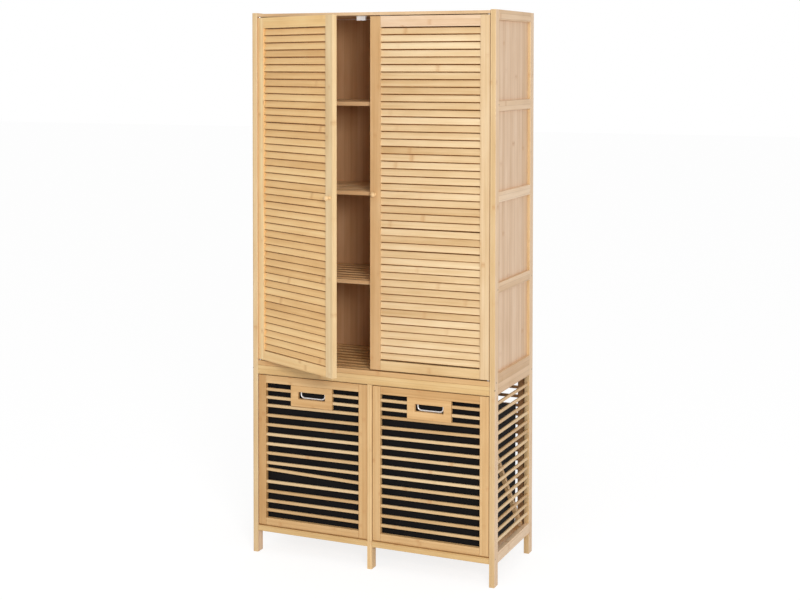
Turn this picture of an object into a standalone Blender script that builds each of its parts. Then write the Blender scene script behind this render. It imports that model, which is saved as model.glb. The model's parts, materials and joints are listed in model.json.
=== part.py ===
"""Tall bathroom cabinet: louvred cupboard above, two tilting laundry hampers below.

Metres, +Z up. The origin is on the floor under the middle front foot: X = 0 is the
cabinet's centre plane, the front faces -Y, and the floor is Z = 0.
"""

import math

import bmesh
import bpy
from mathutils import Matrix, Vector

# Overall size
CABINET_WIDTH = 0.850
CABINET_DEPTH = 0.385
CABINET_HEIGHT = 1.800

# Gaps: faces that rest on each other, and what every cut runs past its solid
SEAT_GAP = 0.0003
CUT_OVERRUN = 0.003

# Side frames
POST_WIDTH = 0.018
POST_DEPTH = 0.034
SIDE_RAIL_THICKNESS = 0.009
SIDE_RAIL_HEIGHT = 0.032
SIDE_RAIL_COUNT = 4
WAIST_RAIL_TOP = 0.66668
WAIST_RAIL_HEIGHT = 0.066
FOOT_RAIL_HEIGHT = 0.0335
FOOT_RAIL_THICKNESS = 0.0155
FOOT_RAIL_BOTTOM = 0.070
SIDE_PANEL_THICKNESS = 0.005
SIDE_PANEL_TOP_DROP = 0.003
SIDE_PANEL_LAP = 0.003

# Middle front post
MIDDLE_POST_WIDTH = 0.0155

# Boards and shelves
TOP_BOARD_THICKNESS = 0.010
TOP_BOARD_DROP = 0.003
FLOOR_BOARD_DROP = 0.02118
FLOOR_BOARD_THICKNESS = 0.0155
FLOOR_FRONT_STRIP_DEPTH = 0.014
FLOOR_SLAT_COUNT = 8
FLOOR_SLAT_WIDTH = 0.029
FLOOR_SLAT_THICKNESS = 0.010
SHELF_THICKNESS = 0.013
SHELF_COUNT = 3
LOWEST_SHELF_RISE = 0.2865
TOP_BAY_HEIGHT = 0.2775
SHELF_SETBACK = 0.0225
SHELF_FRONT_STRIP_DEPTH = 0.017
SHELF_SLAT_COUNT = 6
SHELF_SLAT_WIDTH = 0.030
SHELF_SLAT_THICKNESS = 0.008
REAR_STRIP_DEPTH = 0.017
BEARER_WIDTH = 0.022

# Cross rails
WAIST_CROSS_RAIL_HEIGHT = 0.0293
WAIST_REAR_RAIL_DEPTH = 0.022
FOOT_CROSS_RAIL_LIFT = 0.003
FOOT_FRONT_RAIL_HEIGHT = 0.0185
FOOT_FRONT_RAIL_DEPTH = 0.030
MIDDLE_LAP_DEPTH = 0.017

# Back
BACK_PANEL_THICKNESS = 0.0045
BACK_PANEL_RECESS = 0.0015
BACK_STILE_WIDTH = 0.029
BACK_STILE_THICKNESS = 0.009
BACK_SLAT_HEIGHT = 0.010
BACK_SLAT_THICKNESS = 0.006
BACK_SLAT_COUNT = 16
BACK_SLAT_HEAD_GAP = 0.0144
BACK_SLAT_FOOT_GAP = 0.0273

# Side grilles
SIDE_SLAT_HEIGHT = 0.010
SIDE_SLAT_THICKNESS = 0.006
SIDE_SLAT_COUNT = 15
SIDE_SLAT_HEAD_GAP = 0.0262
SIDE_SLAT_FOOT_GAP = 0.0290
SIDE_SLAT_SETBACK = 0.0035
SIDE_STRIP_WIDTH = 0.006
SIDE_STRIP_THICKNESS = 0.008
SIDE_GROOVE_DEPTH = 0.0063

# Doors
DOOR_THICKNESS = 0.017
DOOR_RECESS = 0.002
DOOR_HINGE_GAP = 0.002
DOOR_MEETING_GAP = 0.002
DOOR_TOP_GAP = 0.003
DOOR_BOTTOM_GAP = 0.0043
HINGE_STILE_WIDTH = 0.031
LOCK_STILE_WIDTH = 0.036
DOOR_TOP_RAIL_HEIGHT = 0.0346
DOOR_BOTTOM_RAIL_HEIGHT = 0.0307
LEFT_DOOR_REST_ANGLE = math.radians(27.0)

# Louvres
LOUVRE_COUNT = 45
LOUVRE_WIDTH = 0.0225
LOUVRE_THICKNESS = 0.004
LOUVRE_TILT = math.radians(14.0)
LOUVRE_SETBACK = 0.003
LOUVRE_FOOT_GAP = 0.0028
LOUVRE_HEAD_GAP = 0.0022
LOUVRE_STRIP_WIDTH = 0.0074
LOUVRE_STRIP_MARGIN = 0.0003
LOUVRE_GROOVE_DEPTH = 0.008

# Door pivots
PIVOT_INSET = 0.0045
PIVOT_RADIUS = 0.0025
PIVOT_CLEARANCE = 0.0003
PIVOT_DEPTH_IN_DOOR = 0.015
PIVOT_DEPTH_IN_BOARD = 0.007
PIVOT_SIDES = 16

# Knobs
KNOB_INSET = 0.015
KNOB_DROP = 0.0024
KNOB_STEM_RADIUS = 0.005
KNOB_HEAD_RADIUS = 0.0085
KNOB_HEAD_DEPTH = 0.012
KNOB_LENGTH = 0.021
KNOB_STEPS = 16
KNOB_ARC_POINTS = 7

# Magnet catches and their strike plates
CATCH_CENTRE = 0.0409
CATCH_WIDTH = 0.035
CATCH_HEIGHT = 0.0155
CATCH_DEPTH = 0.014
CATCH_AIR_GAP = 0.0005
STRIKE_WIDTH = 0.030
STRIKE_HEIGHT = 0.011
STRIKE_THICKNESS = 0.001
STRIKE_DROP = 0.001

# Hampers
HAMPER_THICKNESS = 0.016
HAMPER_RECESS = 0.002
HAMPER_SIDE_GAP = 0.002
HAMPER_TOP_GAP = 0.0030
HAMPER_BOTTOM_GAP = 0.0015
HAMPER_STILE_WIDTH = 0.030
HAMPER_TOP_RAIL_HEIGHT = 0.0254
HAMPER_BOTTOM_RAIL_HEIGHT = 0.0262
HAMPER_EDGE_CHAMFER = 0.004
HAMPER_GROOVE_DEPTH = 0.008
HAMPER_STRIP_WIDTH = 0.0074
HAMPER_STRIP_THICKNESS = 0.009
HAMPER_SLAT_SETBACK = 0.0035
HAMPER_SLAT_THICKNESS = 0.008
HAMPER_SLAT_HEIGHT = 0.0095
HAMPER_SLAT_COUNT = 12
HAMPER_SLAT_FOOT_GAP = 0.02185
SHORT_SLAT_PITCH = 0.0267
SHORT_SLAT_COUNT = 2

# Handle plate with its hand hole, and the wire bail behind it
PLATE_WIDTH = 0.150
PLATE_HEIGHT = 0.0687
PLATE_SHIFT = 0.003  # towards -X, as in the photo
PLATE_THICKNESS = 0.012
PLATE_SETBACK = 0.001
HAND_HOLE_WIDTH = 0.098
HAND_HOLE_HEIGHT = 0.024
HAND_HOLE_DROP = 0.020
BAIL_WIRE_RADIUS = 0.002
BAIL_SIDE_GAP = 0.005
BAIL_BEND_RADIUS = 0.012
BAIL_BOTTOM_RISE = 0.002
BAIL_TOP_RISE = 0.010
BAIL_ARC_POINTS = 5

# Hamper floor, braces and bag
BASE_THICKNESS = 0.012
BASE_SIDE_INSET = 0.0166
BASE_REAR_SETBACK = 0.0175
BASE_BATTEN_WIDTH = 0.018
BASE_BATTEN_DROP = 0.0125
BASE_BATTEN_INSET = 0.0005
BASE_BATTEN_CLEARANCE = 0.006
BRACE_WIDTH = 0.011
BRACE_THICKNESS = 0.016
BRACE_FOOT_SETBACK = 0.0211
BRACE_HEAD_RISE = 0.3838
BAG_SIDE_GAP = 0.0005
BAG_FRONT_GAP = 0.0004
BAG_WALL = 0.003
BAG_FRONT_DROP = 0.0341
BAG_MIDDLE_DROP = 0.0486
BAG_REAR_DROP = 0.0951
BAG_TOP_SETBACK = 0.038
BAG_MIDDLE_DEPTH = 0.130
BAG_BOTTOM_SETBACK = 0.040

# Hamper pivots
HAMPER_PIVOT_INSET = 0.006
HAMPER_PIVOT_RADIUS = 0.0025
HAMPER_PIVOT_DEPTH_IN_STILE = 0.013
HAMPER_PIVOT_DEPTH_IN_POST = 0.006

# Planes that the pieces share
FRONT = -POST_DEPTH / 2
BACK = FRONT + CABINET_DEPTH
HALF_WIDTH = CABINET_WIDTH / 2
POST_INNER = HALF_WIDTH - POST_WIDTH
POST_REAR_OF_FRONT = FRONT + POST_DEPTH
POST_FRONT_OF_REAR = BACK - POST_DEPTH
PANEL_OUTER = HALF_WIDTH - SIDE_RAIL_THICKNESS - SEAT_GAP
PANEL_INNER = PANEL_OUTER - SIDE_PANEL_THICKNESS
SIDE_RAIL_PITCH = (CABINET_HEIGHT - WAIST_RAIL_TOP) / SIDE_RAIL_COUNT
WAIST_RAIL_BOTTOM = WAIST_RAIL_TOP - WAIST_RAIL_HEIGHT
FOOT_RAIL_TOP = FOOT_RAIL_BOTTOM + FOOT_RAIL_HEIGHT
TOP_BOARD_TOP = CABINET_HEIGHT - TOP_BOARD_DROP
TOP_BOARD_BOTTOM = TOP_BOARD_TOP - TOP_BOARD_THICKNESS
FLOOR_BOARD_TOP = WAIST_RAIL_TOP - FLOOR_BOARD_DROP
FLOOR_BOARD_BOTTOM = FLOOR_BOARD_TOP - FLOOR_BOARD_THICKNESS
LOWEST_SHELF_TOP = FLOOR_BOARD_TOP + LOWEST_SHELF_RISE
SHELF_PITCH = (TOP_BOARD_BOTTOM - TOP_BAY_HEIGHT - LOWEST_SHELF_TOP) / (SHELF_COUNT - 1)
WAIST_CROSS_RAIL_TOP = FLOOR_BOARD_BOTTOM - SEAT_GAP
WAIST_CROSS_RAIL_BOTTOM = WAIST_CROSS_RAIL_TOP - WAIST_CROSS_RAIL_HEIGHT
FOOT_CROSS_RAIL_BOTTOM = FOOT_RAIL_BOTTOM + FOOT_CROSS_RAIL_LIFT
FOOT_FRONT_RAIL_TOP = FOOT_CROSS_RAIL_BOTTOM + FOOT_FRONT_RAIL_HEIGHT
BACK_PANEL_REAR = BACK - BACK_PANEL_RECESS
BACK_PANEL_FRONT = BACK_PANEL_REAR - BACK_PANEL_THICKNESS

DOOR_FRONT = FRONT + DOOR_RECESS
DOOR_REAR = DOOR_FRONT + DOOR_THICKNESS
DOOR_BOTTOM = FLOOR_BOARD_TOP + DOOR_BOTTOM_GAP
DOOR_TOP = TOP_BOARD_BOTTOM - DOOR_TOP_GAP
DOOR_HINGE_EDGE = POST_INNER - DOOR_HINGE_GAP
DOOR_FREE_EDGE = DOOR_MEETING_GAP / 2
DOOR_AXIS_X = DOOR_HINGE_EDGE - PIVOT_INSET
DOOR_AXIS_Y = DOOR_FRONT + PIVOT_INSET
LOUVRES_TOP = DOOR_TOP - DOOR_TOP_RAIL_HEIGHT
LOUVRES_BOTTOM = DOOR_BOTTOM + DOOR_BOTTOM_RAIL_HEIGHT
KNOB_HEIGHT = (DOOR_BOTTOM + DOOR_TOP) / 2 - KNOB_DROP

HAMPER_FRONT = FRONT + HAMPER_RECESS
HAMPER_REAR = HAMPER_FRONT + HAMPER_THICKNESS
HAMPER_BOTTOM = FOOT_FRONT_RAIL_TOP + HAMPER_BOTTOM_GAP
HAMPER_TOP = WAIST_CROSS_RAIL_BOTTOM - HAMPER_TOP_GAP
HAMPER_INNER = MIDDLE_POST_WIDTH / 2 + HAMPER_SIDE_GAP
HAMPER_OUTER = POST_INNER - HAMPER_SIDE_GAP
HAMPER_CENTRE = (HAMPER_INNER + HAMPER_OUTER) / 2
HAMPER_HALF_WIDTH = (HAMPER_OUTER - HAMPER_INNER) / 2
HAMPER_AXIS_Y = HAMPER_FRONT + HAMPER_PIVOT_INSET
HAMPER_AXIS_Z = HAMPER_BOTTOM + HAMPER_PIVOT_INSET
BASE_HALF_WIDTH = HAMPER_HALF_WIDTH - BASE_SIDE_INSET
BASE_REAR = BACK - BASE_REAR_SETBACK
FOOT_REAR_RAIL_TOP = HAMPER_BOTTOM - SEAT_GAP

BAMBOO_FRONT = (0.80, 0.55, 0.27, 1.0)
BAMBOO_DOOR = (0.82, 0.58, 0.30, 1.0)
BAMBOO_PANEL = (0.67, 0.48, 0.30, 1.0)
FABRIC_BLACK = (0.02, 0.019, 0.02, 1.0)
STEEL_BRIGHT = (0.75, 0.75, 0.76, 1.0)
PLASTIC_WHITE = (0.85, 0.85, 0.84, 1.0)


def clear_scene():
    """Empty the file that the script runs in."""
    for thing in list(bpy.data.objects):
        bpy.data.objects.remove(thing, do_unlink=True)
    for group in list(bpy.data.collections):
        bpy.data.collections.remove(group)


def new_collection(name):
    """A collection linked to the scene."""
    group = bpy.data.collections.new(name)
    bpy.context.scene.collection.children.link(group)
    return group


def make_material(name, colour, roughness, metallic=0.0):
    """A Principled material for one sub-part."""
    material = bpy.data.materials.new(name)
    material.use_nodes = True
    shader = material.node_tree.nodes["Principled BSDF"]
    shader.inputs["Base Color"].default_value = colour
    shader.inputs["Roughness"].default_value = roughness
    shader.inputs["Metallic"].default_value = metallic
    return material


def bamboo(name, colour=BAMBOO_FRONT):
    """Clear-lacquered bamboo."""
    return make_material(name + "_bamboo", colour, roughness=0.45)


def steel(name):
    """Bright plated steel."""
    return make_material(name + "_steel", STEEL_BRIGHT, roughness=0.2, metallic=1.0)


def put(name, mesh, group, parent=None):
    """Add a mesh, given in cabinet coordinates, under its joint's empty if it moves."""
    thing = bpy.data.objects.new(name, mesh)
    group.objects.link(thing)
    if parent is not None:
        mesh.transform(Matrix.Translation(-parent.location))
        thing.parent = parent
    return thing


def joint_empty(name, location, rotation_z=0.0):
    """The empty on a joint's axis that carries the pieces of a moving body."""
    empty = bpy.data.objects.new(name, None)
    empty.location = location
    empty.rotation_euler = (0.0, 0.0, rotation_z)
    parts.objects.link(empty)
    return empty


def blocks_mesh(name, blocks):
    """One mesh of rectangular blocks, each given as its x, y and z ranges."""
    solid = bmesh.new()
    for ranges in blocks:
        low = Vector(min(pair) for pair in ranges)
        high = Vector(max(pair) for pair in ranges)
        size = Matrix.Diagonal(high - low).to_4x4()
        bmesh.ops.create_cube(solid, size=1.0, matrix=Matrix.Translation((low + high) / 2) @ size)
    mesh = bpy.data.meshes.new(name)
    solid.to_mesh(mesh)
    solid.free()
    return mesh


def block(name, x, y, z, material, parent=None):
    """A named rectangular piece."""
    mesh = blocks_mesh(name, [(x, y, z)])
    mesh.materials.append(material)
    return put(name, mesh, parts, parent)


def guide(name, mesh, parent=None):
    """A hidden solid that a Boolean modifier cuts with or adds."""
    thing = put(name, mesh, cutters, parent)
    thing.hide_render = True
    thing.display_type = "WIRE"
    return thing


def combine(thing, other, operation):
    """Add a Boolean modifier: DIFFERENCE cuts, UNION joins."""
    step = thing.modifiers.new(other.name, "BOOLEAN")
    step.operation = operation
    step.solver = "EXACT"
    step.object = other


def prism_mesh(name, outline, across, span, holes=()):
    """A flat outline, with holes, extruded along the axis named by across, over span."""
    curve = bpy.data.curves.new(name, "CURVE")
    curve.dimensions = "2D"
    curve.fill_mode = "BOTH"
    curve.extrude = (max(span) - min(span)) / 2
    for points in (outline, *holes):
        spline = curve.splines.new("POLY")
        spline.points.add(len(points) - 1)
        for point, (u, v) in zip(spline.points, points):
            point.co = (u, v, 0.0, 1.0)
        spline.use_cyclic_u = True
    source = bpy.data.objects.new(name, curve)
    bpy.context.scene.collection.objects.link(source)
    bpy.context.view_layer.update()
    evaluated = source.evaluated_get(bpy.context.evaluated_depsgraph_get())
    mesh = bpy.data.meshes.new_from_object(evaluated)
    bpy.data.objects.remove(source)
    bpy.data.curves.remove(curve)
    turns = {
        "x": Matrix(((0, 0, 1, 0), (1, 0, 0, 0), (0, 1, 0, 0), (0, 0, 0, 1))),
        "y": Matrix(((1, 0, 0, 0), (0, 0, -1, 0), (0, 1, 0, 0), (0, 0, 0, 1))),
        "z": Matrix.Identity(4),
    }
    middle = Vector((0.0, 0.0, 0.0))
    middle["xyz".index(across)] = (max(span) + min(span)) / 2
    mesh.transform(Matrix.Translation(middle) @ turns[across])
    weld = bmesh.new()
    weld.from_mesh(mesh)
    bmesh.ops.remove_doubles(weld, verts=weld.verts, dist=SEAT_GAP / 10)
    bmesh.ops.recalc_face_normals(weld, faces=weld.faces)
    weld.to_mesh(mesh)
    weld.free()
    return mesh


def prism(name, outline, across, span, material, parent=None, holes=()):
    """A named piece with a flat outline and an even thickness."""
    mesh = prism_mesh(name, outline, across, span, holes)
    mesh.materials.append(material)
    return put(name, mesh, parts, parent)


def rod_mesh(name, start, end, radius):
    """A round rod between two points."""
    start = Vector(start)
    end = Vector(end)
    along = end - start
    solid = bmesh.new()
    bmesh.ops.create_cone(
        solid, cap_ends=True, segments=PIVOT_SIDES, radius1=radius, radius2=radius,
        depth=along.length,
        matrix=Matrix.Translation((start + end) / 2) @ along.to_track_quat("Z", "Y").to_matrix().to_4x4(),
    )
    mesh = bpy.data.meshes.new(name)
    solid.to_mesh(mesh)
    solid.free()
    mesh.shade_smooth()
    mesh.set_sharp_from_angle(angle=math.radians(40.0))
    return mesh


def pin(name, start, end, radius, parent):
    """A steel pivot pin."""
    mesh = rod_mesh(name, start, end, radius)
    mesh.materials.append(steel(name))
    return put(name, mesh, parts, parent)


def drill(thing, name, holes, parent=None):
    """Round holes in a piece, each given as its start, end and radius."""
    cutter = bmesh.new()
    for start, end, radius in holes:
        rod = rod_mesh(name, start, end, radius)
        cutter.from_mesh(rod)
        bpy.data.meshes.remove(rod)
    mesh = bpy.data.meshes.new(name)
    cutter.to_mesh(mesh)
    cutter.free()
    combine(thing, guide(name, mesh, parent), "DIFFERENCE")


def slat_pack(name, slats, strips, material, parent=None):
    """Slats let into upright strips, glued up as one piece."""
    thing = put(name, slats, parts, parent)
    slats.materials.append(material)
    combine(thing, guide(name + "_strips", blocks_mesh(name + "_strips", strips), parent), "UNION")
    return thing


def slat_levels(highest, lowest, height, count):
    """The z ranges of evenly spread level slats, from the highest slat's top to the lowest one's bottom."""
    pitch = (highest - lowest - height) / (count - 1)
    return [(highest - row * pitch - height, highest - row * pitch) for row in range(count)]


def mirrored(side, low, high):
    """An x range on the right (+1) or left (-1) of the cabinet."""
    return (side * low, side * high)


def grown(span, amount):
    """A range made longer at both ends."""
    return (min(span) - amount, max(span) + amount)


def side_name(side):
    """The side as a person names it, seen from the front."""
    return "right" if side > 0 else "left"


def side_frame(side):
    """Two posts, with level rails between them flush with the outer face."""
    name = side_name(side) + "_side_frame"
    post_x = mirrored(side, POST_INNER, HALF_WIDTH)
    upright = (0.0, CABINET_HEIGHT)
    posts = [(post_x, (FRONT, POST_REAR_OF_FRONT), upright), (post_x, (POST_FRONT_OF_REAR, BACK), upright)]
    levels = [
        (CABINET_HEIGHT - step * SIDE_RAIL_PITCH - SIDE_RAIL_HEIGHT, CABINET_HEIGHT - step * SIDE_RAIL_PITCH)
        for step in range(SIDE_RAIL_COUNT)
    ]
    levels.append((WAIST_RAIL_BOTTOM, WAIST_RAIL_TOP))
    rail_x = mirrored(side, HALF_WIDTH - SIDE_RAIL_THICKNESS, HALF_WIDTH)
    foot_x = mirrored(side, HALF_WIDTH - FOOT_RAIL_THICKNESS, HALF_WIDTH)
    rail_y = (FRONT + POST_DEPTH / 2, BACK - POST_DEPTH / 2)
    rails = [(rail_x, rail_y, level) for level in levels]
    rails.append((foot_x, rail_y, (FOOT_RAIL_BOTTOM, FOOT_RAIL_TOP)))
    mesh = blocks_mesh(name, posts)
    mesh.materials.append(bamboo(name, BAMBOO_PANEL))
    frame = put(name, mesh, parts)
    combine(frame, guide(name + "_rails", blocks_mesh(name + "_rails", rails)), "UNION")
    groove_x = mirrored(side, *grown(grille_strip_x(), SEAT_GAP))
    groove_z = (FOOT_RAIL_TOP, WAIST_RAIL_BOTTOM)
    grooves = [
        (groove_x, (POST_REAR_OF_FRONT - SIDE_GROOVE_DEPTH, POST_REAR_OF_FRONT + CUT_OVERRUN), groove_z),
        (groove_x, (POST_FRONT_OF_REAR - CUT_OVERRUN, POST_FRONT_OF_REAR + SIDE_GROOVE_DEPTH), groove_z),
    ]
    combine(frame, guide(name + "_grooves", blocks_mesh(name + "_grooves", grooves)), "DIFFERENCE")
    depth = HAMPER_PIVOT_DEPTH_IN_POST + SEAT_GAP
    hole = (
        (side * (POST_INNER - CUT_OVERRUN), HAMPER_AXIS_Y, HAMPER_AXIS_Z),
        (side * (POST_INNER + depth), HAMPER_AXIS_Y, HAMPER_AXIS_Z),
        HAMPER_PIVOT_RADIUS + PIVOT_CLEARANCE,
    )
    drill(frame, name + "_pivot_hole", [hole])


def grille_middle():
    """The middle of a side grille's slats, which lie a little behind the posts' outer faces."""
    return HALF_WIDTH - SIDE_SLAT_SETBACK - SIDE_SLAT_THICKNESS / 2


def grille_strip_x():
    """The strips that hold a side grille's slats, centred on them."""
    return (grille_middle() - SIDE_STRIP_THICKNESS / 2, grille_middle() + SIDE_STRIP_THICKNESS / 2)


def side_panel(side):
    """The sheet behind the upper rails of a side frame."""
    name = side_name(side) + "_side_panel"
    block(
        name, mirrored(side, PANEL_INNER, PANEL_OUTER),
        (POST_REAR_OF_FRONT + SEAT_GAP, POST_FRONT_OF_REAR - SEAT_GAP),
        (WAIST_RAIL_BOTTOM + SIDE_PANEL_LAP, CABINET_HEIGHT - SIDE_PANEL_TOP_DROP),
        bamboo(name, BAMBOO_PANEL),
    )


def side_grille(side):
    """Level slats beside the hampers, their strips held in the posts' grooves."""
    name = side_name(side) + "_side_grille"
    middle = grille_middle()
    slat_x = mirrored(side, middle - SIDE_SLAT_THICKNESS / 2, middle + SIDE_SLAT_THICKNESS / 2)
    front_strip_y = (POST_REAR_OF_FRONT - SIDE_STRIP_WIDTH, POST_REAR_OF_FRONT - SEAT_GAP)
    rear_strip_y = (POST_FRONT_OF_REAR + SEAT_GAP, POST_FRONT_OF_REAR + SIDE_STRIP_WIDTH)
    slat_y = (sum(front_strip_y) / 2, sum(rear_strip_y) / 2)
    slats = [
        (slat_x, slat_y, slat_z)
        for slat_z in slat_levels(
            WAIST_RAIL_BOTTOM - SIDE_SLAT_HEAD_GAP, FOOT_RAIL_TOP + SIDE_SLAT_FOOT_GAP,
            SIDE_SLAT_HEIGHT, SIDE_SLAT_COUNT,
        )
    ]
    strip_x = mirrored(side, *grille_strip_x())
    strip_z = (FOOT_RAIL_TOP + SEAT_GAP, WAIST_RAIL_BOTTOM - SEAT_GAP)
    strips = [(strip_x, front_strip_y, strip_z), (strip_x, rear_strip_y, strip_z)]
    slat_pack(name, blocks_mesh(name, slats), strips, bamboo(name, BAMBOO_PANEL))


def notched_board(name, front, rear, height, material):
    """A level board between the side panels, notched round the four posts."""
    narrow = POST_INNER - SEAT_GAP
    wide = PANEL_INNER - SEAT_GAP
    board = block(name, (-wide, wide), (front, rear), height, material)
    notch_z = grown(height, CUT_OVERRUN)
    notches = []
    for side in (-1, 1):
        notch_x = mirrored(side, narrow, wide + CUT_OVERRUN)
        notches.append((notch_x, (front - CUT_OVERRUN, POST_REAR_OF_FRONT + SEAT_GAP), notch_z))
        notches.append((notch_x, (POST_FRONT_OF_REAR - SEAT_GAP, rear + CUT_OVERRUN), notch_z))
    combine(board, guide(name + "_notches", blocks_mesh(name + "_notches", notches)), "DIFFERENCE")
    return board


def slatted_board(name, y, z, front_strip_depth, slat_count, slat_width, slat_thickness, material):
    """A front and a rear strip joined by two end bearers, with slats let into the bearers' tops."""
    front, rear = y
    low, high = z
    half = POST_INNER - SEAT_GAP
    slats_front = front + front_strip_depth
    slats_rear = rear - REAR_STRIP_DEPTH
    gap = (slats_rear - slats_front - slat_count * slat_width) / (slat_count + 1)
    level = [((-half, half), (front, slats_front), z), ((-half, half), (slats_rear, rear), z)]
    slat_end = half - BEARER_WIDTH / 2
    for row in range(slat_count):
        slat_front = slats_front + gap + row * (slat_width + gap)
        slat_y = (slat_front, slat_front + slat_width)
        level.append(((-slat_end, slat_end), slat_y, (high - slat_thickness, high)))
    bearer_y = (slats_front - front_strip_depth / 2, slats_rear + REAR_STRIP_DEPTH / 2)
    bearers = [(mirrored(side, half - BEARER_WIDTH, half), bearer_y, z) for side in (-1, 1)]
    return slat_pack(name, blocks_mesh(name, level), bearers, material)


def boards_and_shelves():
    """Top board, slatted cupboard floor and slatted shelves."""
    top_z = (TOP_BOARD_BOTTOM, TOP_BOARD_TOP)
    floor_z = (FLOOR_BOARD_BOTTOM, FLOOR_BOARD_TOP)
    inner_rear = BACK_PANEL_FRONT - SEAT_GAP
    top = notched_board("top_board", FRONT, BACK, top_z, bamboo("top_board"))
    floor = slatted_board(
        "cupboard_floor", (FRONT, inner_rear), floor_z, FLOOR_FRONT_STRIP_DEPTH,
        FLOOR_SLAT_COUNT, FLOOR_SLAT_WIDTH, FLOOR_SLAT_THICKNESS, bamboo("cupboard_floor"),
    )
    depth = PIVOT_DEPTH_IN_BOARD + SEAT_GAP
    radius = PIVOT_RADIUS + PIVOT_CLEARANCE
    top_holes = []
    floor_holes = []
    for x in (-DOOR_AXIS_X, DOOR_AXIS_X):
        above = (x, DOOR_AXIS_Y, TOP_BOARD_BOTTOM + depth)
        below = (x, DOOR_AXIS_Y, FLOOR_BOARD_TOP - depth)
        top_holes.append(((x, DOOR_AXIS_Y, TOP_BOARD_BOTTOM - CUT_OVERRUN), above, radius))
        floor_holes.append(((x, DOOR_AXIS_Y, FLOOR_BOARD_TOP + CUT_OVERRUN), below, radius))
    drill(top, "top_pivot_holes", top_holes)
    drill(floor, "bottom_pivot_holes", floor_holes)
    for step in range(SHELF_COUNT):
        name = "shelf_" + str(SHELF_COUNT - step)
        shelf_top = LOWEST_SHELF_TOP + step * SHELF_PITCH
        slatted_board(
            name, (FRONT + SHELF_SETBACK, inner_rear), (shelf_top - SHELF_THICKNESS, shelf_top),
            SHELF_FRONT_STRIP_DEPTH, SHELF_SLAT_COUNT, SHELF_SLAT_WIDTH, SHELF_SLAT_THICKNESS,
            bamboo(name, BAMBOO_PANEL),
        )


def cross_rails():
    """Rails across the cabinet at the waist and near the floor, and the middle post."""
    across = (-(POST_INNER - SEAT_GAP), POST_INNER - SEAT_GAP)
    waist_z = (WAIST_CROSS_RAIL_BOTTOM, WAIST_CROSS_RAIL_TOP)
    block("waist_front_rail", across, (FRONT, POST_REAR_OF_FRONT), waist_z, bamboo("waist_front_rail"))
    block("waist_rear_rail", across, (BACK - WAIST_REAR_RAIL_DEPTH, BACK), waist_z, bamboo("waist_rear_rail"))
    block(
        "foot_rear_rail", across, (POST_FRONT_OF_REAR, BACK),
        (FOOT_CROSS_RAIL_BOTTOM, FOOT_REAR_RAIL_TOP), bamboo("foot_rear_rail"),
    )
    lap = FRONT + MIDDLE_LAP_DEPTH
    notch_half = MIDDLE_POST_WIDTH / 2 + SEAT_GAP
    rail_rear = FRONT + FOOT_FRONT_RAIL_DEPTH
    rail_outline = [
        (across[0], FRONT), (-notch_half, FRONT), (-notch_half, lap + SEAT_GAP),
        (notch_half, lap + SEAT_GAP), (notch_half, FRONT), (across[1], FRONT),
        (across[1], rail_rear), (across[0], rail_rear),
    ]
    prism(
        "foot_front_rail", rail_outline, "z",
        (FOOT_CROSS_RAIL_BOTTOM, FOOT_FRONT_RAIL_TOP), bamboo("foot_front_rail"),
    )
    post_top = WAIST_CROSS_RAIL_BOTTOM - SEAT_GAP
    notch_low = FOOT_CROSS_RAIL_BOTTOM - SEAT_GAP
    notch_high = FOOT_FRONT_RAIL_TOP + SEAT_GAP
    post_outline = [
        (FRONT, 0.0), (POST_REAR_OF_FRONT, 0.0), (POST_REAR_OF_FRONT, notch_low), (lap, notch_low),
        (lap, notch_high), (POST_REAR_OF_FRONT, notch_high), (POST_REAR_OF_FRONT, post_top),
        (FRONT, post_top),
    ]
    half = MIDDLE_POST_WIDTH / 2
    post = prism("middle_post", post_outline, "x", (-half, half), bamboo("middle_post"))
    depth = HAMPER_PIVOT_DEPTH_IN_POST + SEAT_GAP
    radius = HAMPER_PIVOT_RADIUS + PIVOT_CLEARANCE
    holes = []
    for side in (-1, 1):
        mouth = (side * (half + CUT_OVERRUN), HAMPER_AXIS_Y, HAMPER_AXIS_Z)
        floor = (side * (half - depth), HAMPER_AXIS_Y, HAMPER_AXIS_Z)
        holes.append((mouth, floor, radius))
    drill(post, "middle_pivot_holes", holes)


def back():
    """The sheet behind the cupboard and the open grille behind the hampers."""
    half = POST_INNER - SEAT_GAP
    block(
        "back_panel", (-half, half), (BACK_PANEL_FRONT, BACK_PANEL_REAR),
        (FLOOR_BOARD_BOTTOM, TOP_BOARD_BOTTOM - SEAT_GAP), bamboo("back_panel", BAMBOO_PANEL),
    )
    middle = BACK - POST_DEPTH / 4
    slat_y = (middle - BACK_SLAT_THICKNESS / 2, middle + BACK_SLAT_THICKNESS / 2)
    stile_y = (middle - BACK_STILE_THICKNESS / 2, middle + BACK_STILE_THICKNESS / 2)
    slat_x = (-(half - BACK_STILE_WIDTH / 2), half - BACK_STILE_WIDTH / 2)
    slats = [
        (slat_x, slat_y, slat_z)
        for slat_z in slat_levels(
            WAIST_CROSS_RAIL_BOTTOM - BACK_SLAT_HEAD_GAP, FOOT_REAR_RAIL_TOP + BACK_SLAT_FOOT_GAP,
            BACK_SLAT_HEIGHT, BACK_SLAT_COUNT,
        )
    ]
    stile_z = (FOOT_REAR_RAIL_TOP + SEAT_GAP, WAIST_CROSS_RAIL_BOTTOM - SEAT_GAP)
    stiles = [
        ((-half, -half + BACK_STILE_WIDTH), stile_y, stile_z),
        ((-BACK_STILE_WIDTH / 2, BACK_STILE_WIDTH / 2), stile_y, stile_z),
        ((half - BACK_STILE_WIDTH, half), stile_y, stile_z),
    ]
    slat_pack("back_grille", blocks_mesh("back_grille", slats), stiles, bamboo("back_grille", BAMBOO_PANEL))


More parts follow.
